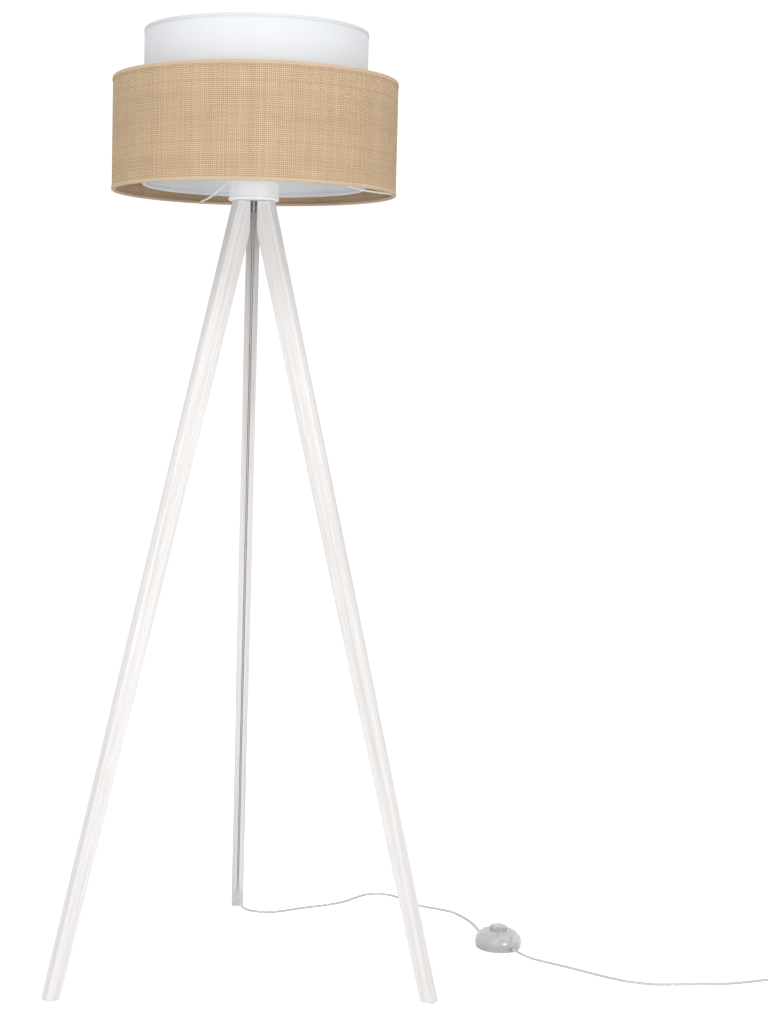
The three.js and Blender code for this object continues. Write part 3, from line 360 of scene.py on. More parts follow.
def swept(name, line, sides, outline_at, material, smooth_under=50):
    """A closed tube along a line. sides holds the sideways direction at each point, and
    outline_at(i) the outline there, as (sideways, other way) in metres."""
    points, faces = [], []
    for i, centre in enumerate(line):
        ahead = line[min(i + 1, len(line) - 1)] - line[max(i - 1, 0)]
        other = ahead.cross(sides[i]).normalized()
        side = other.cross(ahead).normalized()
        outline = outline_at(i)
        points += [centre + side * a + other * b for a, b in outline]
        if i:
            start, count = len(points) - 2 * len(outline), len(outline)
            for k in range(count):
                n = (k + 1) % count
                faces.append((start + k, start + n, start + count + n, start + count + k))
    count = len(outline_at(0))
    faces.append(tuple(reversed(range(count))))
    faces.append(tuple(range(len(points) - count, len(points))))
    return new_piece(name, points, faces, material, smooth_under)


def rounded_block(name, corners, material, turn=0.0, centre=None, ease=0.6):
    """A block with rounded edges between two corners in millimetres, turned about centre."""
    (x0, y0, z0), (x1, y1, z1) = corners
    shell = bmesh.new()
    bmesh.ops.create_cube(shell, size=1)
    size = Matrix.Diagonal(((x1 - x0) * MM, (y1 - y0) * MM, (z1 - z0) * MM, 1))
    place = Matrix.Translation(Vector((x0 + x1, y0 + y1, z0 + z1)) / 2 * MM)
    spin = Matrix.Rotation(math.radians(turn), 4, "Z")
    to = Matrix.Translation(Vector((centre.x, centre.y, 0)))
    bmesh.ops.transform(shell, matrix=to @ spin @ place @ size, verts=shell.verts)
    bmesh.ops.bevel(shell, geom=shell.edges[:], offset=ease * MM, segments=3, affect="EDGES",
                    profile=0.5)
    mesh = bpy.data.meshes.new(name)
    shell.to_mesh(mesh)
    shell.free()
    return finish_surface(stand_in_scene(name, mesh), material)


def settled(piece, material, smooth_under=35):
    """The piece with its modifiers applied, as a plain mesh."""
    graph = bpy.context.evaluated_depsgraph_get()
    mesh = bpy.data.meshes.new_from_object(piece.evaluated_get(graph))
    piece.modifiers.clear()
    piece.data = mesh
    return finish_surface(piece, material, smooth_under)


def cut_by(piece, cutters, material, operation="DIFFERENCE"):
    """The piece cut by the cutters, or joined to them, with its doubles merged so that it stays
    closed. The cutters are used up."""
    for cutter in cutters:
        tool = piece.modifiers.new("cut", "BOOLEAN")
        tool.object, tool.operation, tool.solver = cutter, operation, "EXACT"
    settled(piece, material)
    for cutter in cutters:
        bpy.data.objects.remove(cutter)
    shell = bmesh.new()
    shell.from_mesh(piece.data)
    bmesh.ops.remove_doubles(shell, verts=shell.verts, dist=2e-6)
    shell.to_mesh(piece.data)
    shell.free()
    return finish_surface(piece, material)


def refined(node, material, edge):
    """A CAD node's shape with its edges rounded by that many millimetres."""
    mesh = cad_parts[node].data.copy()
    shell = bmesh.new()
    shell.from_mesh(mesh)
    bmesh.ops.remove_doubles(shell, verts=shell.verts, dist=2e-6)
    bmesh.ops.dissolve_limit(shell, angle_limit=math.radians(1), verts=shell.verts,
                             edges=shell.edges)
    shell.to_mesh(mesh)
    shell.free()
    piece = stand_in_scene(node + "_finished", mesh)
    bevel = piece.modifiers.new("edges", "BEVEL")
    bevel.width, bevel.segments, bevel.limit_method = edge * MM, 2, "ANGLE"
    bevel.angle_limit = math.radians(30)
    return settled(piece, material, 25)


# ---------- geometry trees for what repeats or winds ----------
def new_tree(name, inputs):
    tree = bpy.data.node_groups.new(name, "GeometryNodeTree")
    for label, kind in inputs:
        tree.interface.new_socket(name=label, in_out="INPUT", socket_type="NodeSocket" + kind)
    tree.interface.new_socket(name="Geometry", in_out="OUTPUT", socket_type="NodeSocketGeometry")
    return tree, add_node(tree, "NodeGroupInput").outputs


def close_tree(tree, geometry, material):
    real = add_node(tree, "GeometryNodeRealizeInstances", {"Geometry": geometry})
    painted = add_node(tree, "GeometryNodeSetMaterial", {"Geometry": real, "Material": material})
    add_node(tree, "NodeGroupOutput", {"Geometry": painted})
    return tree


def winding_tree():
    """Wire wound about the upright axis: a spring, or the ridge of a screw thread."""
    tree, given = new_tree("winding", [
        ("Turns", "Float"), ("Steps", "Int"), ("First Radius", "Float"), ("Last Radius", "Float"),
        ("Height", "Float"), ("Foot", "Vector"), ("Wire Radius", "Float"), ("Finish", "Material")])
    spiral = add_node(tree, "GeometryNodeCurveSpiral", {
        "Resolution": given["Steps"], "Rotations": given["Turns"],
        "Start Radius": given["First Radius"], "End Radius": given["Last Radius"],
        "Height": given["Height"]})
    section = add_node(tree, "GeometryNodeCurvePrimitiveCircle", {
        "Resolution": 8, "Radius": given["Wire Radius"]}, mode="RADIUS")
    wire = add_node(tree, "GeometryNodeCurveToMesh", {
        "Curve": spiral, "Profile Curve": section, "Fill Caps": True})
    smooth = add_node(tree, "GeometryNodeSetShadeSmooth", {"Geometry": wire})
    placed = add_node(tree, "GeometryNodeTransform", {
        "Geometry": smooth, "Translation": given["Foot"]})
    return close_tree(tree, placed, given["Finish"])


def ribs_tree():
    """Upright round-ended ribs set evenly round a circle."""
    tree, given = new_tree("ribs", [
        ("Count", "Int"), ("Circle Radius", "Float"), ("Rib Radius", "Float"),
        ("Rib Height", "Float"), ("Foot", "Vector"), ("Finish", "Material")])
    circle = add_node(tree, "GeometryNodeCurvePrimitiveCircle", {
        "Resolution": given["Count"], "Radius": given["Circle Radius"]}, mode="RADIUS")
    stops = add_node(tree, "GeometryNodeCurveToPoints", {"Curve": circle}, mode="EVALUATED")
    rib = add_node(tree, "GeometryNodeMeshCylinder", {
        "Vertices": 8, "Radius": given["Rib Radius"], "Depth": given["Rib Height"]})
    smooth = add_node(tree, "GeometryNodeSetShadeSmooth", {"Geometry": rib.outputs["Mesh"]})
    ribs = add_node(tree, "GeometryNodeInstanceOnPoints", {
        "Points": stops.outputs["Points"], "Instance": smooth})
    placed = add_node(tree, "GeometryNodeTransform", {
        "Geometry": ribs, "Translation": given["Foot"]})
    return close_tree(tree, placed, given["Finish"])


def wire_rings_tree():
    """Round wire bent into level rings, one at each height."""
    tree, given = new_tree("wire rings", [
        ("Ring Radius", "Float"), ("Wire Radius", "Float"), ("Low Ring", "Vector"),
        ("High Ring", "Vector"), ("Finish", "Material")])
    heights = add_node(tree, "GeometryNodeMeshLine", {
        "Count": 2, "Start Location": given["Low Ring"], "Offset": given["High Ring"]},
        mode="END_POINTS")
    ring = add_node(tree, "GeometryNodeCurvePrimitiveCircle", {
        "Resolution": 160, "Radius": given["Ring Radius"]}, mode="RADIUS")
    section = add_node(tree, "GeometryNodeCurvePrimitiveCircle", {
        "Resolution": 12, "Radius": given["Wire Radius"]}, mode="RADIUS")
    wire = add_node(tree, "GeometryNodeCurveToMesh", {"Curve": ring, "Profile Curve": section})
    smooth = add_node(tree, "GeometryNodeSetShadeSmooth", {"Geometry": wire})
    rings = add_node(tree, "GeometryNodeInstanceOnPoints", {"Points": heights, "Instance": smooth})
    return close_tree(tree, rings, given["Finish"])


def grown(name, tree, **values):
    """The plain mesh that a geometry tree makes from those values of its named inputs."""
    piece = bpy.data.objects.new(name, bpy.data.meshes.new(name))
    modifier = piece.modifiers.new("grown", "NODES")
    modifier.node_group = tree
    for item in tree.interface.items_tree:
        if item.in_out == "INPUT":
            modifier[item.identifier] = values[item.name.replace(" ", "_")]
    bpy.context.scene.collection.objects.link(piece)
    bpy.context.view_layer.update()
    return settled(piece, values["Finish"])


# ---------- flex: routes and section ----------
FLEX_WIDTH = 5.2
FLEX_THICKNESS = 2.6
FLEX_FLOOR = 1.6  # the middle of flex that lies flat on the floor


def smooth_line(route, step=0.0025):
    """Points about a step apart on the centripetal curve through a route of points in metres."""
    knots = [route[0] * 2 - route[1], *route, route[-1] * 2 - route[-2]]
    fine = []
    for a, b, c, d in zip(knots, knots[1:], knots[2:], knots[3:]):
        ab, bc, cd = ((q - p).length ** 0.5 for p, q in ((a, b), (b, c), (c, d)))
        leave = ((b - a) / ab - (c - a) / (ab + bc) + (c - b) / bc) * bc
        arrive = ((c - b) / bc - (d - b) / (bc + cd) + (d - c) / cd) * bc
        count = max(4, math.ceil((c - b).length / (step / 4)))
        for k in range(count):
            t = k / count
            fine.append(
                b + leave * t + (c * 3 - b * 3 - leave * 2 - arrive) * t ** 2
                + (b * 2 - c * 2 + leave + arrive) * t ** 3)
    fine.append(route[-1].copy())
    return evenly(fine, step)


def evenly(line, step):
    """The line again, with its points evenly spaced about a step apart."""
    along = [0.0]
    for a, b in zip(line, line[1:]):
        along.append(along[-1] + (b - a).length)
    count = max(2, round(along[-1] / step))
    spaced, i = [], 0
    for k in range(count + 1):
        want = along[-1] * k / count
        while i < len(along) - 2 and along[i + 1] < want:
            i += 1
        share = (want - along[i]) / max(along[i + 1] - along[i], 1e-12)
        spaced.append(line[i].lerp(line[i + 1], min(share, 1.0)))
    return spaced


LEG_TURN = math.radians(91)
OUT_OF_LEG = Vector((math.cos(LEG_TURN), math.sin(LEG_TURN), 0))
ACROSS_LEG = UP.cross(OUT_OF_LEG)

# from the lampholder through the threaded tube and down the slot: (distance from axis, height)
LAMP_FLEX_ROUTE = [
    (0, 1131.6), (0, 1084.3), (2.2, 1070.595), (8, 1052.595), (16.418, 1032.595),
    (24.447, 1010.595), (30.876, 986.595), (40.354, 954.595), (50.492, 918.595),
    (135.432, 600), (236.112, 220), (270.555, 90), (278.503, 60), (281.083, 48),
    (282.732, 38), (282.219, 30.5), (281.482, 24.6),
]
SWITCH_MIDDLE = Vector((392, 97, 0))
SWITCH_TURN = math.radians(-62)
SWITCH_LENGTHWAYS = Vector((math.cos(SWITCH_TURN), math.sin(SWITCH_TURN), 0))


def by_switch(distance, z):
    point = SWITCH_MIDDLE + SWITCH_LENGTHWAYS * distance
    return (point.x, point.y, z)


# a point that gives no level lies on the floor
LEG_TO_SWITCH_ROUTE = [
    (-4.6, 280.2, 18.5), (-3, 277.7, 12.6), (0, 274.4, 7.8), (4.4, 270.6, 4.2), (9.6, 266.9, 2.2),
    (15.6, 263), (23.5, 259.3), (32, 256.6), (42, 255.2), (53, 256.8),
    (68, 263), (84, 272),
    (112, 286), (140, 299), (166, 316), (187, 339), (206, 359),
    (226, 366), (246, 360), (262, 343), (277, 319), (296, 299),
    (318, 285), (339, 270), (353, 247), (362.5, 222), (368, 196, 2.3),
    (370, 171, 4), (370.6, 150, 6.6), by_switch(-39, 8), by_switch(-27, 8), by_switch(-17.2, 8),
]
SWITCH_TO_COIL_ROUTE = [
    by_switch(17.2, 8), by_switch(27, 8), by_switch(39, 8), (418, 51.5, 6), (428.5, 42, 3.6),
    (441.5, 33, 2), (458, 21.5), (478, 6), (504, -16), (530, -38), (560, -58),
    (595, -68), (635, -67), (676, -64), (706, -61), (738, -52),
    (768, -42), (790, -36.5, 1.9), (804.5, -34.6, 2.575),
]
COIL_MIDDLE = Vector((824, -2, 0))
COIL_RADII = (31.7, 26.3)
COIL_LEVELS = (2.575, 5.325, 8.075)
PLUG_X, PLUG_Z = 855.7, 7.0
# (column, layer) of each turn of the coil, from the first laid to the last
COIL_TURNS = [(0, 0), (1, 0), (1, 1), (0, 1), (0, 2), (0, 2)]
PLUG_START = (PLUG_X, 44, PLUG_Z)


def on_route(route):
    return [at(*p) if len(p) == 3 else at(*p, FLEX_FLOOR) for p in route]


def coil_points():
    """Five and a quarter turns, from the side nearest the camera, anticlockwise, each moving to
    the next place in its last third."""
    points = []
    for turn, (here, there) in enumerate(zip(COIL_TURNS, [*COIL_TURNS[1:], COIL_TURNS[-1]])):
        for degrees in range(0, 360 if turn < 5 else 91, 10):
            share = max(0.0, (degrees - 240) / 120)
            share = share * share * (3 - 2 * share)
            radius = COIL_RADII[here[0]] * (1 - share) + COIL_RADII[there[0]] * share
            level = COIL_LEVELS[here[1]] * (1 - share) + COIL_LEVELS[there[1]] * share
            a = math.radians(degrees - 90)
            points.append((COIL_MIDDLE.x + radius * math.cos(a),
                           COIL_MIDDLE.y + radius * math.sin(a), level))
    return points


def jacket_outline(grow=0.0):
    """Two round cores side by side under one skin, with a shallow waist between them."""
    half, radius = (FLEX_WIDTH - FLEX_THICKNESS) / 2, FLEX_THICKNESS / 2 + grow
    outline = []
    for k in range(20):
        a = 2 * math.pi * (k + 0.5) / 20
        x = radius * math.cos(a) + half * max(-1.0, min(1.0, 2.2 * math.cos(a)))
        y = radius * math.sin(a) * (1 - 0.14 * math.exp(-(x / 0.7) ** 2))
        outline.append((x * MM, y * MM))
    return outline


def strand_outline(side, turn):
    """A bundle of tinned strands in one half of the flex, twisted by that angle."""
    outline = []
    for k in range(12):
        a = 2 * math.pi * k / 12
        r = 0.72 if k % 2 else 0.58
        outline.append(((side * 1.3 + r * math.cos(a + turn)) * MM, r * math.sin(a + turn) * MM))
    return outline


def lay_flex(name, line, sides):
    """The clear jacket along a line, and the two twisted strands inside it."""
    lay_length = 0.018
    step = (line[1] - line[0]).length
    jacket = swept(name, line, sides, lambda i: jacket_outline(), CLEAR_PVC)
    cores = [
        swept(f"{name}_strand_{n}", line, sides,
              lambda i, side=side: strand_outline(side, 2 * math.pi * i * step / lay_length),
              TINNED_COPPER, 80)
        for n, side in ((1, -1), (2, 1))]
    for piece in (jacket, *cores):
        fitted(piece, "stand", "clear_flex")
    return jacket, cores


def flat_sides(line):
    """Sideways directions for flex that lies flat."""
    sides = []
    for i in range(len(line)):
        ahead = line[min(i + 1, len(line) - 1)] - line[max(i - 1, 0)]
        sides.append(UP.cross(ahead).normalized())
    return sides


# ---------- finishes ----------
# Clear PVC over the flex: soft gloss, a little grey in the thickness.
CLEAR_PVC = clear_plastic("clear_pvc", "#f4f4f3", 0.12, 1.53, 0.6, 0.004, 0.00002)
# Clear polycarbonate of the foot switch: glassy, with mould ripple.
CLEAR_POLYCARBONATE = clear_plastic("clear_polycarbonate", "#f7f8f9", 0.05, 1.58, 0.7,
                                    0.012, 0.00005)
# Tinned copper strands: bright dull-white metal, finely drawn.
TINNED_COPPER = plain_finish(
    "tinned_copper", "#e2e3e4", "#cfd1d3", "#f0f0f0", 0.0015, 0.00005, (0.25, 0.4), Metallic=1.0)
# Bright zinc plating on steel: cool grey metal with a faint crystalline mottle.
ZINC_PLATE = plain_finish(
    "zinc_plated_steel", "#b9bcbf", "#a5a9ad", "#c9cccf", 0.0012, 0.00001, (0.25, 0.42),
    Metallic=1.0)
# Nickel-plated brass of the bulb's screw cap: warmer and smoother than zinc.
NICKEL_PLATE = plain_finish(
    "nickel_plate", "#c8c4bb", "#b7b2a8", "#d5d1c9", 0.003, 0.000005, (0.16, 0.28), Metallic=1.0)
# Half-hard brass strip and rod, as stamped and turned.
BRASS = plain_finish(
    "turned_brass", "#cfa75a", "#b98f45", "#dcb86d", 0.0015, 0.00001, (0.22, 0.38), Metallic=1.0)
# Dark oiled spring steel.
SPRING_STEEL = plain_finish(
    "spring_steel", "#5b5d61", "#45474b", "#72757a", 0.001, 0.00001, (0.25, 0.4), Metallic=1.0)
# White PBT of the lampholder: moulded satin, a very fine spark texture.
WHITE_PBT = plain_finish(
    "white_pbt", "#e9e8e4", "#e3e2de", "#eeede9", 0.0009, 0.00003, (0.38, 0.5))
# Cream thermoset of the lampholder's insert: speckled and dull.
CREAM_THERMOSET = plain_finish(
    "cream_thermoset", "#dcd6c6", "#cbc4b2", "#e4dfd1", 0.0007, 0.00004, (0.5, 0.65))
# White PVC of the plug: spark-eroded mould texture, soft gloss.
WHITE_PVC = plain_finish(
    "white_pvc", "#e8e8e5", "#e0e0dd", "#efefec", 0.0008, 0.00005, (0.36, 0.5))
# White polyamide cable tie: slightly milky.
WHITE_NYLON = plain_finish(
    "white_nylon", "#ecebe6", "#e3e2dc", "#f1f0ec", 0.0015, 0.00003, (0.35, 0.45))
# White powder coat on wire: orange peel a millimetre or so across.
POWDER_COAT = plain_finish(
    "white_powder_coat", "#e9e9e7", "#e2e2e0", "#efefed", 0.0013, 0.00005, (0.28, 0.4))
# Black glass that insulates the tip of the bulb's cap.
BLACK_GLASS = plain_finish(
    "black_glass", "#17171a", "#101012", "#222226", 0.004, 0.00002, (0.06, 0.14))
# Opal glass of the bulb: milk white, glossy, light spreads inside it.
OPAL_GLASS = plain_finish(
    "opal_glass", "#f0efec", "#ecebe8", "#f3f2f0", 0.02, 0.00001, (0.1, 0.16),
    Subsurface_Weight=0.4, Subsurface_Scale=0.01, Coat_Weight=0.5, Coat_Roughness=0.05)
# Closed-cell EVA foam under the switch.
EVA_FOAM = plain_finish(
    "eva_foam", "#d6d6d2", "#bdbdb8", "#e0e0dc", 0.0008, 0.00015, (0.8, 0.95))
# Beech dowel: close, warm, flecked grain.
BEECH = plain_finish("beech", "#d3ae7c", "#b98f5d", "#dfc093", 0.0016, 0.00004, (0.5, 0.65))

LEG_LEAN = math.atan2(312 - 29.5, 1104)


def along_leg(degrees):
    """The turn that stands a pattern along the leg at that bearing."""
    turn = Matrix.Rotation(math.radians(degrees), 3, "Z") @ Matrix.Rotation(-LEG_LEAN, 3, "Y")
    return tuple(turn.to_euler())


LEG_TIMBER = {
    name: lacquered_timber("lacquered_timber_" + name, along_leg(degrees), "#cfcbc9", "#e2e0df")
    for name, degrees in (("rear", 91), ("left", 211), ("right", 331))}
# the hub is turned from a flat board, so its grain lies level; its lacquer and pores are painted
# paler than the legs' as painted light, to make up for the shade that the drums cast on the hub
HUB_TIMBER_PAINTED_LIGHT = lacquered_timber("lacquered_timber_hub", (0, math.pi / 2, 0), "#eeecee", "#f6f5f6")

# Jute: coarse slubby yarn with dark gaps that show the open weave; the gaps and the yarn's sides
# are darkened as painted shade. The yarn is about 1.8 mm apart, drawn at 2.6 mm so that it shows.
JUTE = woven_cloth("jute", 0.0026, 0.0016, ("#a88b6c", "#caad8a", "#e1c8a7"), 0.0009, 0.85, 0.2,
                   (0.86, 1.08))
# Cotton herringbone tape in the colour of the jute, closer woven and paler, its gaps and yarn sides
# darkened as painted shade.
EDGE_TAPE = woven_cloth("edge_tape", 0.0008, 0.0004, ("#b79c7e", "#d3b99c", "#e4cfb6"),
                        0.0003, 0.8, 0.15, (0.94, 1.04))
# White chintz laminated on clear film: yarn 0.3 mm apart, drawn at 0.8 mm so that it shows, its
# gaps and yarn sides faintly darkened as painted shade.
WHITE_CHINTZ = woven_cloth("white_chintz", 0.0008, 0.0003, ("#e6e8eb", "#ebedef", "#eef0f2"),
                           0.00001, 0.5, 0.35)


# ---------- free flex: leg to switch, switch to plug ----------
def in_leg(r, z):
    return AXIS + OUT_OF_LEG * r * MM + UP * z * MM


lamp_line = smooth_line([in_leg(r, z) for r, z in LAMP_FLEX_ROUTE])
leg_end, leg_heading = lamp_line[-1], (lamp_line[-1] - lamp_line[-2]).normalized()

leg_to_switch = smooth_line([leg_end + leg_heading * 0.3 * MM, *on_route(LEG_TO_SWITCH_ROUTE)])


UNTWIST_LENGTH = 0.034  # the flex is on edge in the slot and flat on the floor this far on


def untwisting_sides(line, over):
    """On edge as in the slot at first, then turned flat within that length."""
    sides, run = flat_sides(line), 0.0
    for i, flat in enumerate(sides):
        if i:
            run += (line[i] - line[i - 1]).length
        share = min(run / over, 1.0)
        share = share * share * (3 - 2 * share)
        ahead = (line[min(i + 1, len(line) - 1)] - line[max(i - 1, 0)]).normalized()
        on_edge = ahead.cross(ACROSS_LEG).normalized()
        if on_edge.dot(flat) < 0:
            on_edge = -on_edge
        sides[i] = (on_edge * (1 - share) + flat * share).normalized()
    return sides


flex_to_switch, strands_to_switch = lay_flex(
    "free_flex_to_switch", leg_to_switch, untwisting_sides(leg_to_switch, UNTWIST_LENGTH))
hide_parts("flex_to_switch")

switch_to_plug = smooth_line([
    *on_route(SWITCH_TO_COIL_ROUTE), *(at(*p) for p in coil_points()),
    at(PLUG_X, 4, 8.0), at(PLUG_X, 20, 7.6), at(PLUG_X, 34, 7.1), at(*PLUG_START),
    at(PLUG_X, 50, PLUG_Z)], 0.002)
flex_to_plug, strands_to_plug = lay_flex(
    "free_flex_to_plug", switch_to_plug, flat_sides(switch_to_plug))
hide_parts("flex_to_coil", "flex_coil", "plug_lead")


# ---------- flex inside the lamp ----------
lamp_sides = [
    (lamp_line[min(i + 1, len(lamp_line) - 1)] - lamp_line[max(i - 1, 0)])
    .cross(ACROSS_LEG).normalized() for i in range(len(lamp_line))]
lamp_flex, _ = lay_flex("lamp_flex", lamp_line, lamp_sides)
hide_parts("leg_flex")


# ---------- turned pieces on the lamp's axis ----------
def contact_wave():
    """The rolled thread of the lampholder's brass shell, outside then inside."""
    rows = [(1151.9 + 23.7 * k / 26, 0.18 * math.sin(k * 1.9)) for k in range(27)]
    outside = [(14.12 + swell, z) for z, swell in rows]
    return outside + [(r - 0.5, z) for r, z in reversed(outside)]


def bulb_outline():
    """The bulb's neck, swelling into a round globe."""
    neck = [(0, 1175.9), (13.2, 1175.9), (13.3, 1178.5), (13.9, 1184), (15.3, 1190),
            (17.5, 1196.5), (20.1, 1202.8)]
    globe = []
    for k in range(25):
        a = math.radians(-40 + 130 * k / 24)
        globe.append((30 * math.cos(a), 1228.1 + 30 * math.sin(a)))
    globe[-1] = (0, 1258.1)
    return neck + globe


# name: (body, slot, finish, CAD nodes, ease of the corners, profile of radius and height)
TURNED = {
    "threaded_tube_finished": ("stand", "zinc_plated_steel", ZINC_PLATE, ["threaded_tube"], 0.3, [
        (3.6, 1088.3), (4.8, 1088.3), (4.8, 1128.6), (3.6, 1128.6)]),
    "lampholder_cap": ("stand", "white_thermoplastic", WHITE_PBT, ["holder_cap"], 1.2, [
        (5.3, 1118.6), (16.2, 1118.6), (19.2, 1120), (20.2, 1123.6), (20.2, 1145.6),
        (17.8, 1145.6), (17.8, 1123.6), (15.8, 1121), (8.5, 1121), (8.5, 1129.6), (5.3, 1129.6)]),
    "lampholder_shell": ("stand", "white_thermoplastic", WHITE_PBT, ["holder_shell"], 0.6, [
        (17.8, 1145.9), (21.4, 1145.9), (21.4, 1148.6), (24, 1150.6), (24, 1153), (20, 1153),
        (20, 1177.8), (19.4, 1178.6), (17.8, 1178.6)]),
    "lampholder_contact_shell": ("stand", "brass", BRASS, ["screw_contact"], 0, contact_wave()),
    "spider_collar": ("shade", "white_coated_wire", POWDER_COAT, ["spider_ring"], 0.5, [
        (21, 1153.3), (27.1, 1153.3), (27.1, 1155.3), (21, 1155.3)]),
    "bulb_globe": ("bulb", "opal_glass", OPAL_GLASS, ["bulb_glass"], 0, bulb_outline()),
    "bulb_screw_cap": ("bulb", "zinc_plated_steel", NICKEL_PLATE, ["bulb_cap"], 0.4, [
        (0, 1153.4), (6.2, 1153.4), (7.4, 1154), (12, 1157.2), (12.9, 1159), (12.9, 1174.4),
        (13.3, 1174.9), (13.3, 1175.6), (0, 1175.6)]),
    "bulb_insulator": ("bulb", "zinc_plated_steel", BLACK_GLASS, [], 0.2, [
        (0, 1152.4), (4.4, 1152.4), (6, 1152.8), (7.2, 1153.8), (0, 1153.9)]),
    "bulb_contact": ("bulb", "zinc_plated_steel", NICKEL_PLATE, ["bulb_tip"], 0.3, [
        (0, 1150.1), (2.6, 1150.2), (4.2, 1150.9), (4.6, 1151.8), (4.6, 1152.5), (0, 1152.5)]),
}
for name, (body, slot, finish, nodes, ease, profile) in TURNED.items():
    fitted(lathe(name, profile, finish, ease=ease), body, slot, *nodes)

WINDING, RIBS, WIRE_RINGS = winding_tree(), ribs_tree(), wire_rings_tree()


def wound(name, body, slot, finish, foot, radii, rise, turns, wire):
    """A winding in millimetres: its foot, its first and last radius, its rise and its wire."""
    piece = grown(
        name, WINDING, Turns=float(turns), Steps=48, First_Radius=radii[0] * MM,
        Last_Radius=radii[1] * MM, Height=rise * MM, Foot=foot, Wire_Radius=wire * MM,
        Finish=finish)
    return fitted(piece, body, slot)


wound("threaded_tube_thread", "stand", "zinc_plated_steel", ZINC_PLATE,
      at(0, 0, 1089), (4.75, 4.75), 39, 39, 0.3)
wound("lampholder_thread", "stand", "white_thermoplastic", WHITE_PBT,
      at(0, 0, 1155), (19.95, 19.95), 21, 7, 0.5)
wound("bulb_cap_thread", "bulb", "zinc_plated_steel", NICKEL_PLATE,
      at(0, 0, 1160), (12.65, 12.65), 12.6, 3.5, 0.8)

# ---------- lampholder insert, contacts and cores ----------
TERMINAL_SPREAD = 8.5  # from the lamp's axis to each terminal screw
insert = lathe("lampholder_insert", [
    (0, 1141.6), (17.5, 1141.6), (17.5, 1177.1), (14.6, 1177.1), (14.6, 1147.6), (0, 1147.6)],
    CREAM_THERMOSET, ease=0.3)
cut_by(insert, [
    lathe(f"terminal_hole_{side}", [(0, 1140), (2.5, 1140), (2.5, 1144.9), (0, 1144.9)],
          CREAM_THERMOSET, 24, at(side * TERMINAL_SPREAD, 0, 0))
    for side in (-1, 1)], CREAM_THERMOSET)
fitted(insert, "stand", "holder_insert_plastic", "holder_insert")


def slotted(screw, centre, top, reach, turns, material, width=0.8, depth=1.2):
    """Slots cut across a screw's head, one for each turn in degrees.
    A negative depth cuts upwards."""
    low, high = sorted((top - depth, top + depth))
    return cut_by(screw, [
        rounded_block(f"slot_{turn}", ((-reach, -width / 2, low), (reach, width / 2, high)),
                      material, turn, centre, 0.05)
        for turn in turns], material)


for side, end in ((-1, "live"), (1, "neutral")):
    node = f"terminal_screw_{end}"
    centre = at(side * TERMINAL_SPREAD, 0, 0)
    low, high = height(node)
    screw = lathe(f"{node}_finished", [
        (0, low), (2.2, low), (2.2, high - 2), (1.6, high - 1.8), (1.6, high), (0, high)],
        BRASS, 32, centre, 0.15)
    slotted(screw, centre, low, 3, (20,), BRASS)
    fitted(screw, "stand", "brass", node)
fitted(refined("centre_contact", BRASS, 0.12), "stand", "brass", "centre_contact")
for node in ("core_live", "core_neutral"):
    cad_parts[node].data.materials.clear()
    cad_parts[node].data.materials.append(TINNED_COPPER)

# ---------- ring nut ----------
ring_nut = lathe("ring_nut_finished", [
    (20.6, 1155.6), (28.1, 1155.6), (28.1, 1157.6), (25.1, 1161.6), (24.1, 1162.6),
    (20.6, 1162.6)], WHITE_PBT, ease=0.4)
grips = grown("ring_nut_grips", RIBS, Count=8, Circle_Radius=0.0267, Rib_Radius=0.0018,
              Rib_Height=0.0064, Foot=at(0, 0, 1160.8), Finish=WHITE_PBT)
fitted(cut_by(ring_nut, [grips], WHITE_PBT), "ring_nut", "white_thermoplastic", "shade_ring_nut")

# ---------- legs, their screws and dowels ----------
LEGS = {"rear": 91, "left": 211, "right": 331}


def by_leg(leg, out, side):
    """A point on the floor, out from the axis along a leg and sideways from its middle."""
    a = math.radians(LEGS[leg])
    return at(out * math.cos(a) - side * math.sin(a), out * math.sin(a) + side * math.cos(a), 0)


hub_holes = []
for leg in LEGS:
    fitted(refined(f"leg_{leg}", LEG_TIMBER[leg], 0.3), "stand", "white_lacquered_wood",
           f"leg_{leg}")
    screw_at, dowel_at = by_leg(leg, 22, -4.6), by_leg(leg, 15, 4.6)
    screw = lathe(f"leg_screw_{leg}_finished", [
        (0, 1075.7), (1.7, 1079.7), (1.7, 1115.1), (3.9, 1117.3), (3.9, 1117.7), (0, 1117.7)],
        ZINC_PLATE, 32, screw_at, 0.2)
    slotted(screw, screw_at, 1117.7, 2.2, (45, 135), ZINC_PLATE)
    fitted(screw, "stand", "zinc_plated_steel", f"leg_screw_{leg}")
    wound(f"leg_screw_{leg}_thread", "stand", "zinc_plated_steel", ZINC_PLATE,
          screw_at + UP * 1079.7 * MM, (1.7, 1.7), 24, 12, 0.32)
    low, high = height(f"leg_dowel_{leg}")
    dowel = lathe(f"leg_dowel_{leg}_finished", [
        (0, low), (3, low), (3.9, low + 1.2), (3.9, high - 1.2), (3, high), (0, high)],
        BEECH, 40, dowel_at, 0.2)
    flutes = grown(f"leg_dowel_{leg}_flutes", RIBS, Count=14, Circle_Radius=0.0041,
                   Rib_Radius=0.0004, Rib_Height=(high - low + 4) * MM,
                   Foot=dowel_at + UP * (low + high) / 2 * MM, Finish=BEECH)
    fitted(cut_by(dowel, [flutes], BEECH), "stand", "beech", f"leg_dowel_{leg}")
    hub_holes.append(lathe(f"screw_hole_{leg}", [
        (0, 1103), (2.3, 1103), (2.3, 1114.9), (4.3, 1117.1), (4.3, 1120), (0, 1120)],
        HUB_TIMBER_PAINTED_LIGHT, 32, screw_at))
    hub_holes.append(lathe(f"dowel_hole_{leg}", [
        (0, 1103), (4.3, 1103), (4.3, high + 0.3), (0, high + 0.3)], HUB_TIMBER_PAINTED_LIGHT, 32, dowel_at))

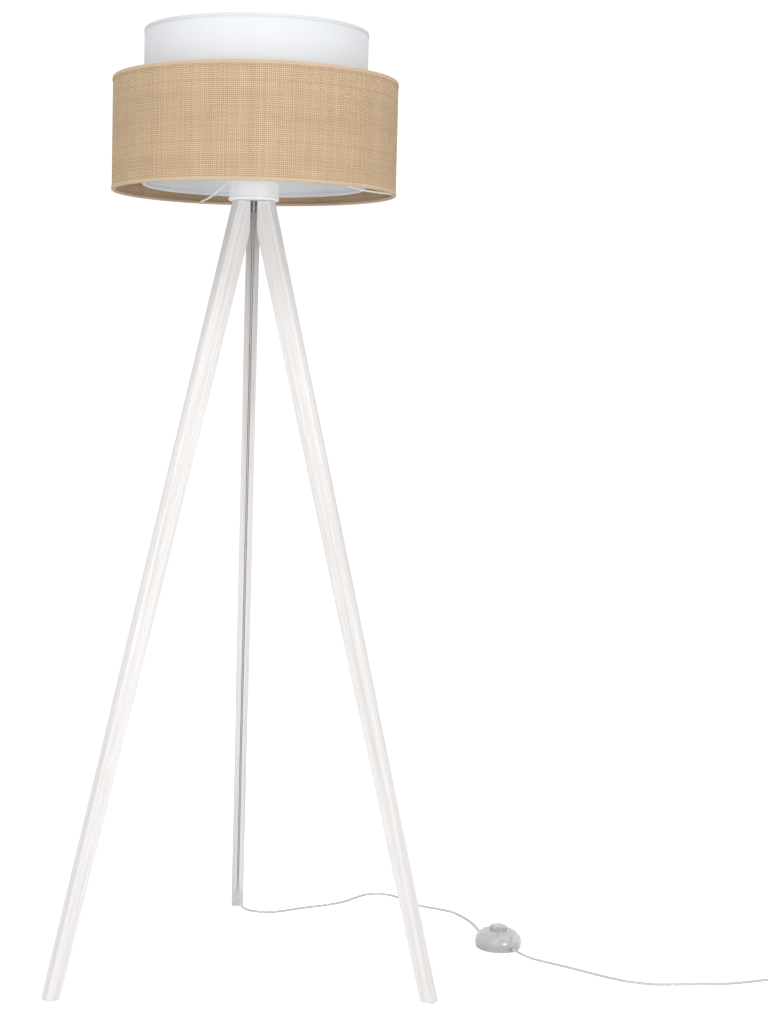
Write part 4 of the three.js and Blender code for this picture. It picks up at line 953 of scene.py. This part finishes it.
# ---------- hub ----------
hub = lathe("hub_finished", [
    (5.3, 1104.3), (34.5, 1104.3), (35.7, 1105.5), (35.7, 1108.8), (34.2, 1109.2),
    (34.2, 1109.8), (35, 1110.4), (35, 1113), (34.5, 1113.3), (34.5, 1113.7), (35, 1114),
    (35, 1139.1), (33.8, 1140.3), (29.2, 1140.3), (28, 1139.1), (28, 1118.3), (5.3, 1118.3)],
    HUB_TIMBER_PAINTED_LIGHT, 160, ease=0.5)
fitted(cut_by(hub, hub_holes, HUB_TIMBER_PAINTED_LIGHT), "stand", "white_lacquered_wood", "hub")
fitted(refined("tube_nut", ZINC_PLATE, 0.4), "stand", "zinc_plated_steel", "tube_nut")


# ---------- shade frame ----------
WIRE_R = 1.5
SPIDER_BEARINGS = (-6, 114, 234)


def spider_arm(number, bearing):
    a = math.radians(bearing)
    out = Vector((math.cos(a), math.sin(a), 0))
    across = UP.cross(out)
    knee = Vector((155.8, 0, 1121.4))
    before = knee + (Vector((26, 0, 1154.3)) - knee).normalized() * 12
    after = knee + (Vector((195.1, 0, 1116.8)) - knee).normalized() * 12
    corners = [Vector((26, 0, 1154.3)), before.copy()]
    for k in range(1, 8):
        t = k / 8
        corners.append(before * (1 - t) ** 2 + knee * 2 * t * (1 - t) + after * t * t)
    corners += [after, Vector((195.3, 0, 1116.8))]
    line = [AXIS + out * p.x * MM + UP * p.z * MM for p in corners]
    ring = circle(WIRE_R, 16)
    arm = swept(f"spider_arm_{number}_finished", line, [across] * len(line), lambda i: ring,
                POWDER_COAT)
    return fitted(arm, "shade", "white_coated_wire", f"spider_arm_{number}")


for number, bearing in enumerate(SPIDER_BEARINGS, 1):
    spider_arm(number, bearing)
for name, radius, low, high in (
    ("outer", 0.1969, 1116.3, 1267.7), ("inner", 0.1543, 1125.3, 1335.7)
):
    rings = grown(f"{name}_shade_rings", WIRE_RINGS, Ring_Radius=radius, Wire_Radius=WIRE_R * MM,
                  Low_Ring=at(0, 0, low), High_Ring=at(0, 0, high), Finish=POWDER_COAT)
    fitted(rings, "shade", "white_coated_wire", f"{name}_bottom_ring", f"{name}_top_ring")


# ---------- shades ----------
def cloth_map(piece, radius):
    """A map in metres over a drum's cloth, round from the back and up its side."""
    mesh = piece.data
    layer = mesh.uv_layers.new(name="cloth")
    for face in mesh.polygons:
        spots = [mesh.vertices[mesh.loops[i].vertex_index].co - AXIS for i in face.loop_indices]
        turns = [math.atan2(spot.x, -spot.y) for spot in spots]
        if max(turns) - min(turns) > math.pi:
            turns = [turn % (2 * math.pi) for turn in turns]
        for i, spot, turn in zip(face.loop_indices, spots, turns):
            layer.data[i].uv = (turn * radius, spot.z + spot.to_2d().length)
    return piece


def drum(name, node, radius, wall, low, high, cloth, slot):
    """A drum of cloth, with its lap seam at the back."""
    profile = [(radius - wall, low), (radius, low)]
    profile += [(radius, low + (high - low) * k / 12) for k in range(1, 12)]
    profile += [(radius, high), (radius - wall, high)]
    profile += [(radius - wall, high - (high - low) * k / 12) for k in range(1, 12)]
    side = cloth_map(lathe(name, profile, cloth, 240), radius * MM)
    fitted(side, "shade", slot, node)
    lap = []
    for level in (low + 1, high - 1):
        for lift in (-0.2, 0.45):
            for k in range(9):
                a = math.radians(90 + (k - 4) * 5.5 / radius * 180 / math.pi / 4)
                reach = radius + (lift if 0 < k < 8 or lift < 0 else 0.1)
                lap.append(at(reach * math.cos(a), reach * math.sin(a), level))
    faces = []
    for k in range(8):
        faces += [(9 + k, 10 + k, 28 + k, 27 + k), (k + 1, k, 18 + k, 19 + k),
                  (k, k + 1, 10 + k, 9 + k), (27 + k, 28 + k, 19 + k, 18 + k)]
    faces += [(0, 9, 27, 18), (8, 26, 35, 17)]
    seam = cloth_map(new_piece(name + "_lap_seam", lap, faces, cloth), radius * MM)
    fitted(seam, "shade", slot)


def folded(path, thickness):
    """A strip of that thickness along a path of (radius, height), closed as a ring's profile."""
    sides = []
    for turn in (1, -1):
        side = []
        for i, (r, z) in enumerate(path):
            (r0, z0), (r1, z1) = path[max(i - 1, 0)], path[min(i + 1, len(path) - 1)]
            length = math.hypot(r1 - r0, z1 - z0)
            side.append((r - turn * (z1 - z0) / length * thickness / 2,
                         z + turn * (r1 - r0) / length * thickness / 2))
        sides.append(side)
    return sides[0] + sides[1][::-1]


def hem(name, radius, wall, rim, up, height, thickness, cloth, slot, *nodes):
    """Cloth folded over a drum's rim and round the wire inside it. up is 1 at a bottom rim and -1
    at a top one."""
    skin, half = radius + 0.05 + thickness / 2, thickness / 2
    wire, lift = radius - wall - 1.8, 1.8
    round_wire = [
        (wire + (1.55 + half) * math.cos(math.radians(a)),
         lift + (1.55 + half) * math.sin(math.radians(a))) for a in range(-90, -241, -25)]
    path = [(skin, height), (skin, height / 2), (skin, 0.3), (skin - 0.5, -half), *round_wire,
            (radius - wall - 0.3 - half, 4.6), (radius - wall - 0.05 - half, height + 1.5)]
    profile = folded([(r, rim + z * up) for r, z in path], thickness)
    fitted(cloth_map(lathe(name, profile, cloth, 240), radius * MM), "shade", slot, *nodes)


# radius, wall, lowest and highest level
OUTER_DRUM = (200, 1.3, 1114.5, 1269.5)
INNER_DRUM = (157, 0.9, 1123.5, 1337.5)
HEM_HEIGHT = 4.5

drum("outer_jute_drum", "outer_shade", *OUTER_DRUM, JUTE, "jute_cloth")
for end, up, rim in (("bottom", 1, OUTER_DRUM[2]), ("top", -1, OUTER_DRUM[3])):
    hem(f"outer_hem_{end}", *OUTER_DRUM[:2], rim, up, HEM_HEIGHT, 0.6, EDGE_TAPE, "jute_tape",
        f"outer_tape_{end}")
drum("inner_white_drum", "inner_shade", *INNER_DRUM, WHITE_CHINTZ, "white_laminated_cloth")
for end, up, rim in (("bottom", 1, INNER_DRUM[2]), ("top", -1, INNER_DRUM[3])):
    hem(f"inner_hem_{end}", *INNER_DRUM[:2], rim, up, HEM_HEIGHT, 0.3, WHITE_CHINTZ,
        "white_laminated_cloth")

# ---------- foot switch ----------
switch_at = AXIS + SWITCH_MIDDLE * MM
SWITCH_DEGREES = math.degrees(SWITCH_TURN)
SCREW_SPREAD = 24  # from the middle of the switch to each case screw


def switch_spot(along, side):
    """A point on the floor by the switch, along its flex and sideways from it."""
    a = SWITCH_TURN
    return switch_at + Vector((along * math.cos(a) - side * math.sin(a),
                               along * math.sin(a) + side * math.cos(a), 0)) * MM


def dome(inset):
    """The case's outline, shrunk by the inset for its inside."""
    r, rise = 35 - inset, 28 - inset
    points = [(r - 1.5, 1.4), (r - 0.3, 4), (r, 9)]
    for k in range(1, 14):
        share = math.sin(math.pi / 2 * k / 14)
        x = (1 - share ** 2.3) ** (1 / 2.3)
        points.append((12.8 + (r - 12.8) * x, 9 + (rise - 9) * share))
    return points + [(14.8, rise), (12.8, rise)]


case = lathe("foot_switch_case", dome(0) + dome(2)[::-1], CLEAR_POLYCARBONATE, 128, switch_at)
bosses = [
    lathe(f"case_boss_{side}", [(0, 4.3), (3.2, 4.3), (3.2, 23.8), (0, 23.8)],
          CLEAR_POLYCARBONATE, 32, switch_spot(0, side * SCREW_SPREAD)) for side in (-1, 1)]
cut_by(case, bosses, CLEAR_POLYCARBONATE, "UNION")
inlets = rounded_block("inlets", ((-40, -3.1, 6.2), (40, 3.1, 9.8)), CLEAR_POLYCARBONATE,
                       SWITCH_DEGREES, switch_at)
screw_holes = [
    lathe(f"case_hole_{side}", [(0, 0), (1.7, 0), (1.7, 16), (0, 16)], CLEAR_POLYCARBONATE, 24,
          switch_spot(0, side * SCREW_SPREAD)) for side in (-1, 1)]
cut_by(case, [inlets, *screw_holes], CLEAR_POLYCARBONATE)
fitted(case, "stand", "clear_polycarbonate", "switch_case")

base = lathe("foot_switch_base", [(0, 1.4), (31.2, 1.4), (31.2, 4), (0, 4)],
             CLEAR_POLYCARBONATE, 96, switch_at, 0.4)
cut_by(base, [
    lathe(f"base_hole_{side}", [(0, 0), (3.1, 0), (3.1, 2.7), (1.7, 2.7), (1.7, 5), (0, 5)],
          CLEAR_POLYCARBONATE, 24, switch_spot(0, side * SCREW_SPREAD)) for side in (-1, 1)],
    CLEAR_POLYCARBONATE)
fitted(base, "stand", "clear_polycarbonate", "switch_base")
pad = lathe("foot_switch_pad", [(12, 0), (20, 0), (20, 1.1), (12, 1.1)], EVA_FOAM, 72, switch_at,
            0.3)
fitted(pad, "stand", "soft_pad", "switch_foot_pad")
switch_pieces = [case, base, pad]
for number, side in ((1, -1), (2, 1)):
    spot = switch_spot(0, side * SCREW_SPREAD)
    screw = lathe(f"case_screw_{number}_finished", [
        (0, 1.6), (2.8, 1.6), (2.8, 2.4), (1.3, 2.5), (1.3, 14), (0, 15)], ZINC_PLATE, 32, spot,
        0.15)
    slotted(screw, spot, 1.6, 1.8, (0, 90), ZINC_PLATE, 0.6, 0.5)
    fitted(screw, "stand", "zinc_plated_steel", f"case_screw_{number}")
    blocks = (
        (f"switch_terminal_{number}", BRASS, "brass", ((13.3, -4, 4.3), (16.8, 4, 11)), 0.3),
        (f"flex_clamp_{number}", WHITE_PBT, "white_thermoplastic",
         ((21.5, -7, 9.6), (26.5, 7, 12.6)), 0.6))
    switch_pieces.append(screw)
    for node, finish, slot, corners, ease in blocks:
        block = rounded_block(f"{node}_finished", corners, finish,
                              SWITCH_DEGREES + (180 if side < 0 else 0), switch_at, ease)
        switch_pieces.append(fitted(block, "stand", slot, node))
contact_block = rounded_block("contact_block_finished", ((-13, -9, 4.3), (13, 9, 12)), WHITE_PBT,
                              SWITCH_DEGREES, switch_at, 0.7)
cut_by(contact_block, [
    lathe("plunger_well", [(0, 4.6), (2.3, 4.6), (2.3, 13), (0, 13)], WHITE_PBT, 32, switch_at)],
    WHITE_PBT)
fitted(contact_block, "stand", "white_thermoplastic", "contact_block")
spring = wound("foot_switch_spring", "stand", "zinc_plated_steel", SPRING_STEEL,
               switch_at + UP * 12.8 * MM, (6.4, 3.2), 18.4, 5, 0.5)
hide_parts("button_spring")
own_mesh(spring)
button = lathe("foot_switch_button", [
    (0, 32), (10.3, 32), (10.3, 20), (14.2, 20), (14.2, 25.7), (12.3, 25.7), (12.3, 33.2),
    (11.5, 34), (0, 34.6)], CLEAR_POLYCARBONATE, 96, switch_at, 0.4)
fitted(button, "foot_button", "clear_polycarbonate", "switch_button")
ribs = grown("foot_switch_button_ribs", RIBS, Count=30, Circle_Radius=0.0122, Rib_Radius=0.0005,
             Rib_Height=0.0048, Foot=switch_at + UP * 30.6 * MM, Finish=CLEAR_POLYCARBONATE)
fitted(ribs, "foot_button", "clear_polycarbonate")
plunger = lathe("foot_switch_plunger", [
    (0, 9), (1.3, 9), (1.8, 9.6), (1.8, 31.7), (0, 31.7)], ZINC_PLATE, 32, switch_at, 0.2)
fitted(plunger, "foot_button", "zinc_plated_steel", "button_plunger")
switch_pieces += [contact_block, spring, button, ribs, plunger]

# ---------- plug, its strain relief and the coil's tie ----------
PIN_SPREAD = 9.3  # from the plug's middle to each pin


def lofted(name, sections, material, power=3.4, sides=40):
    """A body along +Y from rounded oblongs: (y, half width, half height) in millimetres."""
    line = [at(PLUG_X, y, PLUG_Z) for y, _, _ in sections]

    def oblong(i):
        _, half_width, half_height = sections[i]
        points = []
        for k in range(sides):
            a = 2 * math.pi * k / sides
            c, s = math.cos(a), math.sin(a)
            points.append((half_width * MM * math.copysign(abs(c) ** (2 / power), c),
                           half_height * MM * math.copysign(abs(s) ** (2 / power), s)))
        return points

    return swept(name, line, [Vector((1, 0, 0))] * len(line), oblong, material, 60)


def plug_sections():
    rows = []
    for k in range(25):
        share = k / 24
        wide = min(1.0, share / 0.7)
        swell = wide * wide * (3 - 2 * wide)
        end = 1 - 0.12 * max(0.0, (0.04 - min(share, 1 - share)) / 0.04) ** 2
        rows.append((66.3 + 35 * share, (5.5 + 7.5 * swell) * end, (5.5 + 1.3 * swell) * end))
    return rows


def relief_sections():
    """A tapered strain relief, ringed with grooves so that it bends."""
    rows = []
    for k in range(45):
        share = k / 44
        groove = 0.75 if 2 < k < 41 and k % 6 in (3, 4) else 0
        rows.append((44 + 22.3 * share, 3.3 + 1.64 * share - groove, 2.1 + 2.52 * share - groove))
    return rows


plug = lofted("plug_body_finished", plug_sections(), WHITE_PVC)
cut_by(plug, [
    swept(f"pin_hole_{side}", [at(PLUG_X + side * PIN_SPREAD, y, PLUG_Z) for y in (94, 104)],
          [Vector((1, 0, 0))] * 2, lambda i: circle(2.2, 24), WHITE_PVC)
    for side in (-1, 1)], WHITE_PVC)
fitted(plug, "stand", "white_plug_plastic", "plug_body")
relief = lofted("plug_relief_finished", relief_sections(), WHITE_PVC, 2.6)
fitted(relief, "stand", "white_plug_plastic", "plug_relief")
plug_pieces = [plug, relief]


def pin(name, side, rows, material):
    """A round rod along +Y from rows of (y, radius) in millimetres."""
    line = [at(PLUG_X + side * PIN_SPREAD, y, PLUG_Z) for y, _ in rows]
    return swept(name, line, [Vector((1, 0, 0))] * len(line), lambda i: circle(rows[i][1], 32),
                 material)


for number, side in ((1, -1), (2, 1)):
    metal = pin(f"plug_pin_{number}_finished", side, [
        (94.3, 1.95), (100, 1.95), (112, 1.95), (118, 1.95), (119.2, 1.8), (120, 1.3),
        (120.3, 0.5)], BRASS)
    fitted(metal, "stand", "brass", f"plug_pin_{number}")
    sleeve = pin(f"plug_pin_{number}_sleeve", side, [
        (100.5, 2.02), (110.6, 2.02), (111, 1.98), (111.2, 1.9)], WHITE_PVC)
    fitted(sleeve, "stand", "white_plug_plastic")
    plug_pieces += [metal, sleeve]

tie = refined("coil_tie", WHITE_NYLON, 0.2)
fitted(tie, "stand", "white_tie", "coil_tie")
tie_at = COIL_MIDDLE * MM + AXIS
tie_head = rounded_block("coil_tie_head", ((34.8, -3.2, 3), (38.6, 3.2, 7.6)), WHITE_NYLON, 120,
                         tie_at, 0.5)
fitted(tie_head, "stand", "white_tie")


# ---------- floor and light ----------
FLOOR_LEVEL = -0.0002  # just under the feet
# name, place, side in metres and power in watts
SOFTBOXES = (
    ("right box", (1650, -2750, 900), 1.1, 22),
    ("left box", (-1600, -2750, 900), 1.1, 16),
    ("high box", (0, -1500, 2650), 1.2, 15),
)


def studio():
    """A white floor that runs into a white background, and soft light from the front and above."""
    sweep = bpy.data.meshes.new("studio_floor")
    corners = ((-2, -2.2), (2.4, -2.2), (2.4, 2), (-2, 2))
    sweep.from_pydata([(x, y, FLOOR_LEVEL) for x, y in corners], [], [(0, 1, 2, 3)])
    floor = stand_in_scene("studio_floor", sweep)
    # matt white paper, lit from under as well so that it runs into the background
    paper, tree, shader = new_material("white_paper", "#e4e4e4", 0.9)
    place = add_node(tree, "ShaderNodeTexCoord").outputs["Object"]
    tooth = add_node(tree, "ShaderNodeTexNoise", {"Vector": place, "Scale": 300.0})
    relief = add_node(tree, "ShaderNodeBump", {"Height": tooth, "Strength": 0.1, "Distance": 1e-4})
    tree.links.new(relief.outputs[0], shader.inputs["Normal"])
    glow = add_node(tree, "ShaderNodeEmission", {"Color": (1, 1, 1, 1), "Strength": 0.8})
    lit = add_node(tree, "ShaderNodeAddShader", {0: shader, 1: glow})
    seen = add_node(tree, "ShaderNodeLightPath").outputs["Is Camera Ray"]
    both = add_node(tree, "ShaderNodeMixShader", {"Fac": seen, 1: shader, 2: lit})
    tree.links.new(both.outputs[0], tree.nodes["Material Output"].inputs["Surface"])
    sweep.materials.append(paper)

    world = bpy.data.worlds.new("studio")
    world.use_nodes = True
    sky = world.node_tree
    sky.nodes["Background"].inputs["Color"].default_value = (1, 1, 1, 1)
    sky.nodes["Background"].inputs["Strength"].default_value = 0.88
    backdrop = add_node(sky, "ShaderNodeBackground", {"Color": (1, 1, 1, 1), "Strength": 1.1})
    seen = add_node(sky, "ShaderNodeLightPath").outputs["Is Camera Ray"]
    mixed = add_node(sky, "ShaderNodeMixShader", {
        "Fac": seen, 1: sky.nodes["Background"], 2: backdrop})
    sky.links.new(mixed.outputs[0], sky.nodes["World Output"].inputs["Surface"])
    bpy.context.scene.world = world

    for name, place, size, power in SOFTBOXES:
        lamp = bpy.data.lights.new(name, "AREA")
        lamp.energy, lamp.size, lamp.shape = power, size, "SQUARE"
        holder = bpy.data.objects.new(name, lamp)
        holder.location = at(*place)
        towards = at(0, 0, 700) - holder.location
        holder.rotation_euler = towards.to_track_quat("-Z", "Y").to_euler()
        bpy.context.scene.collection.objects.link(holder)


studio()
bpy.context.scene.view_settings.view_transform = "Standard"
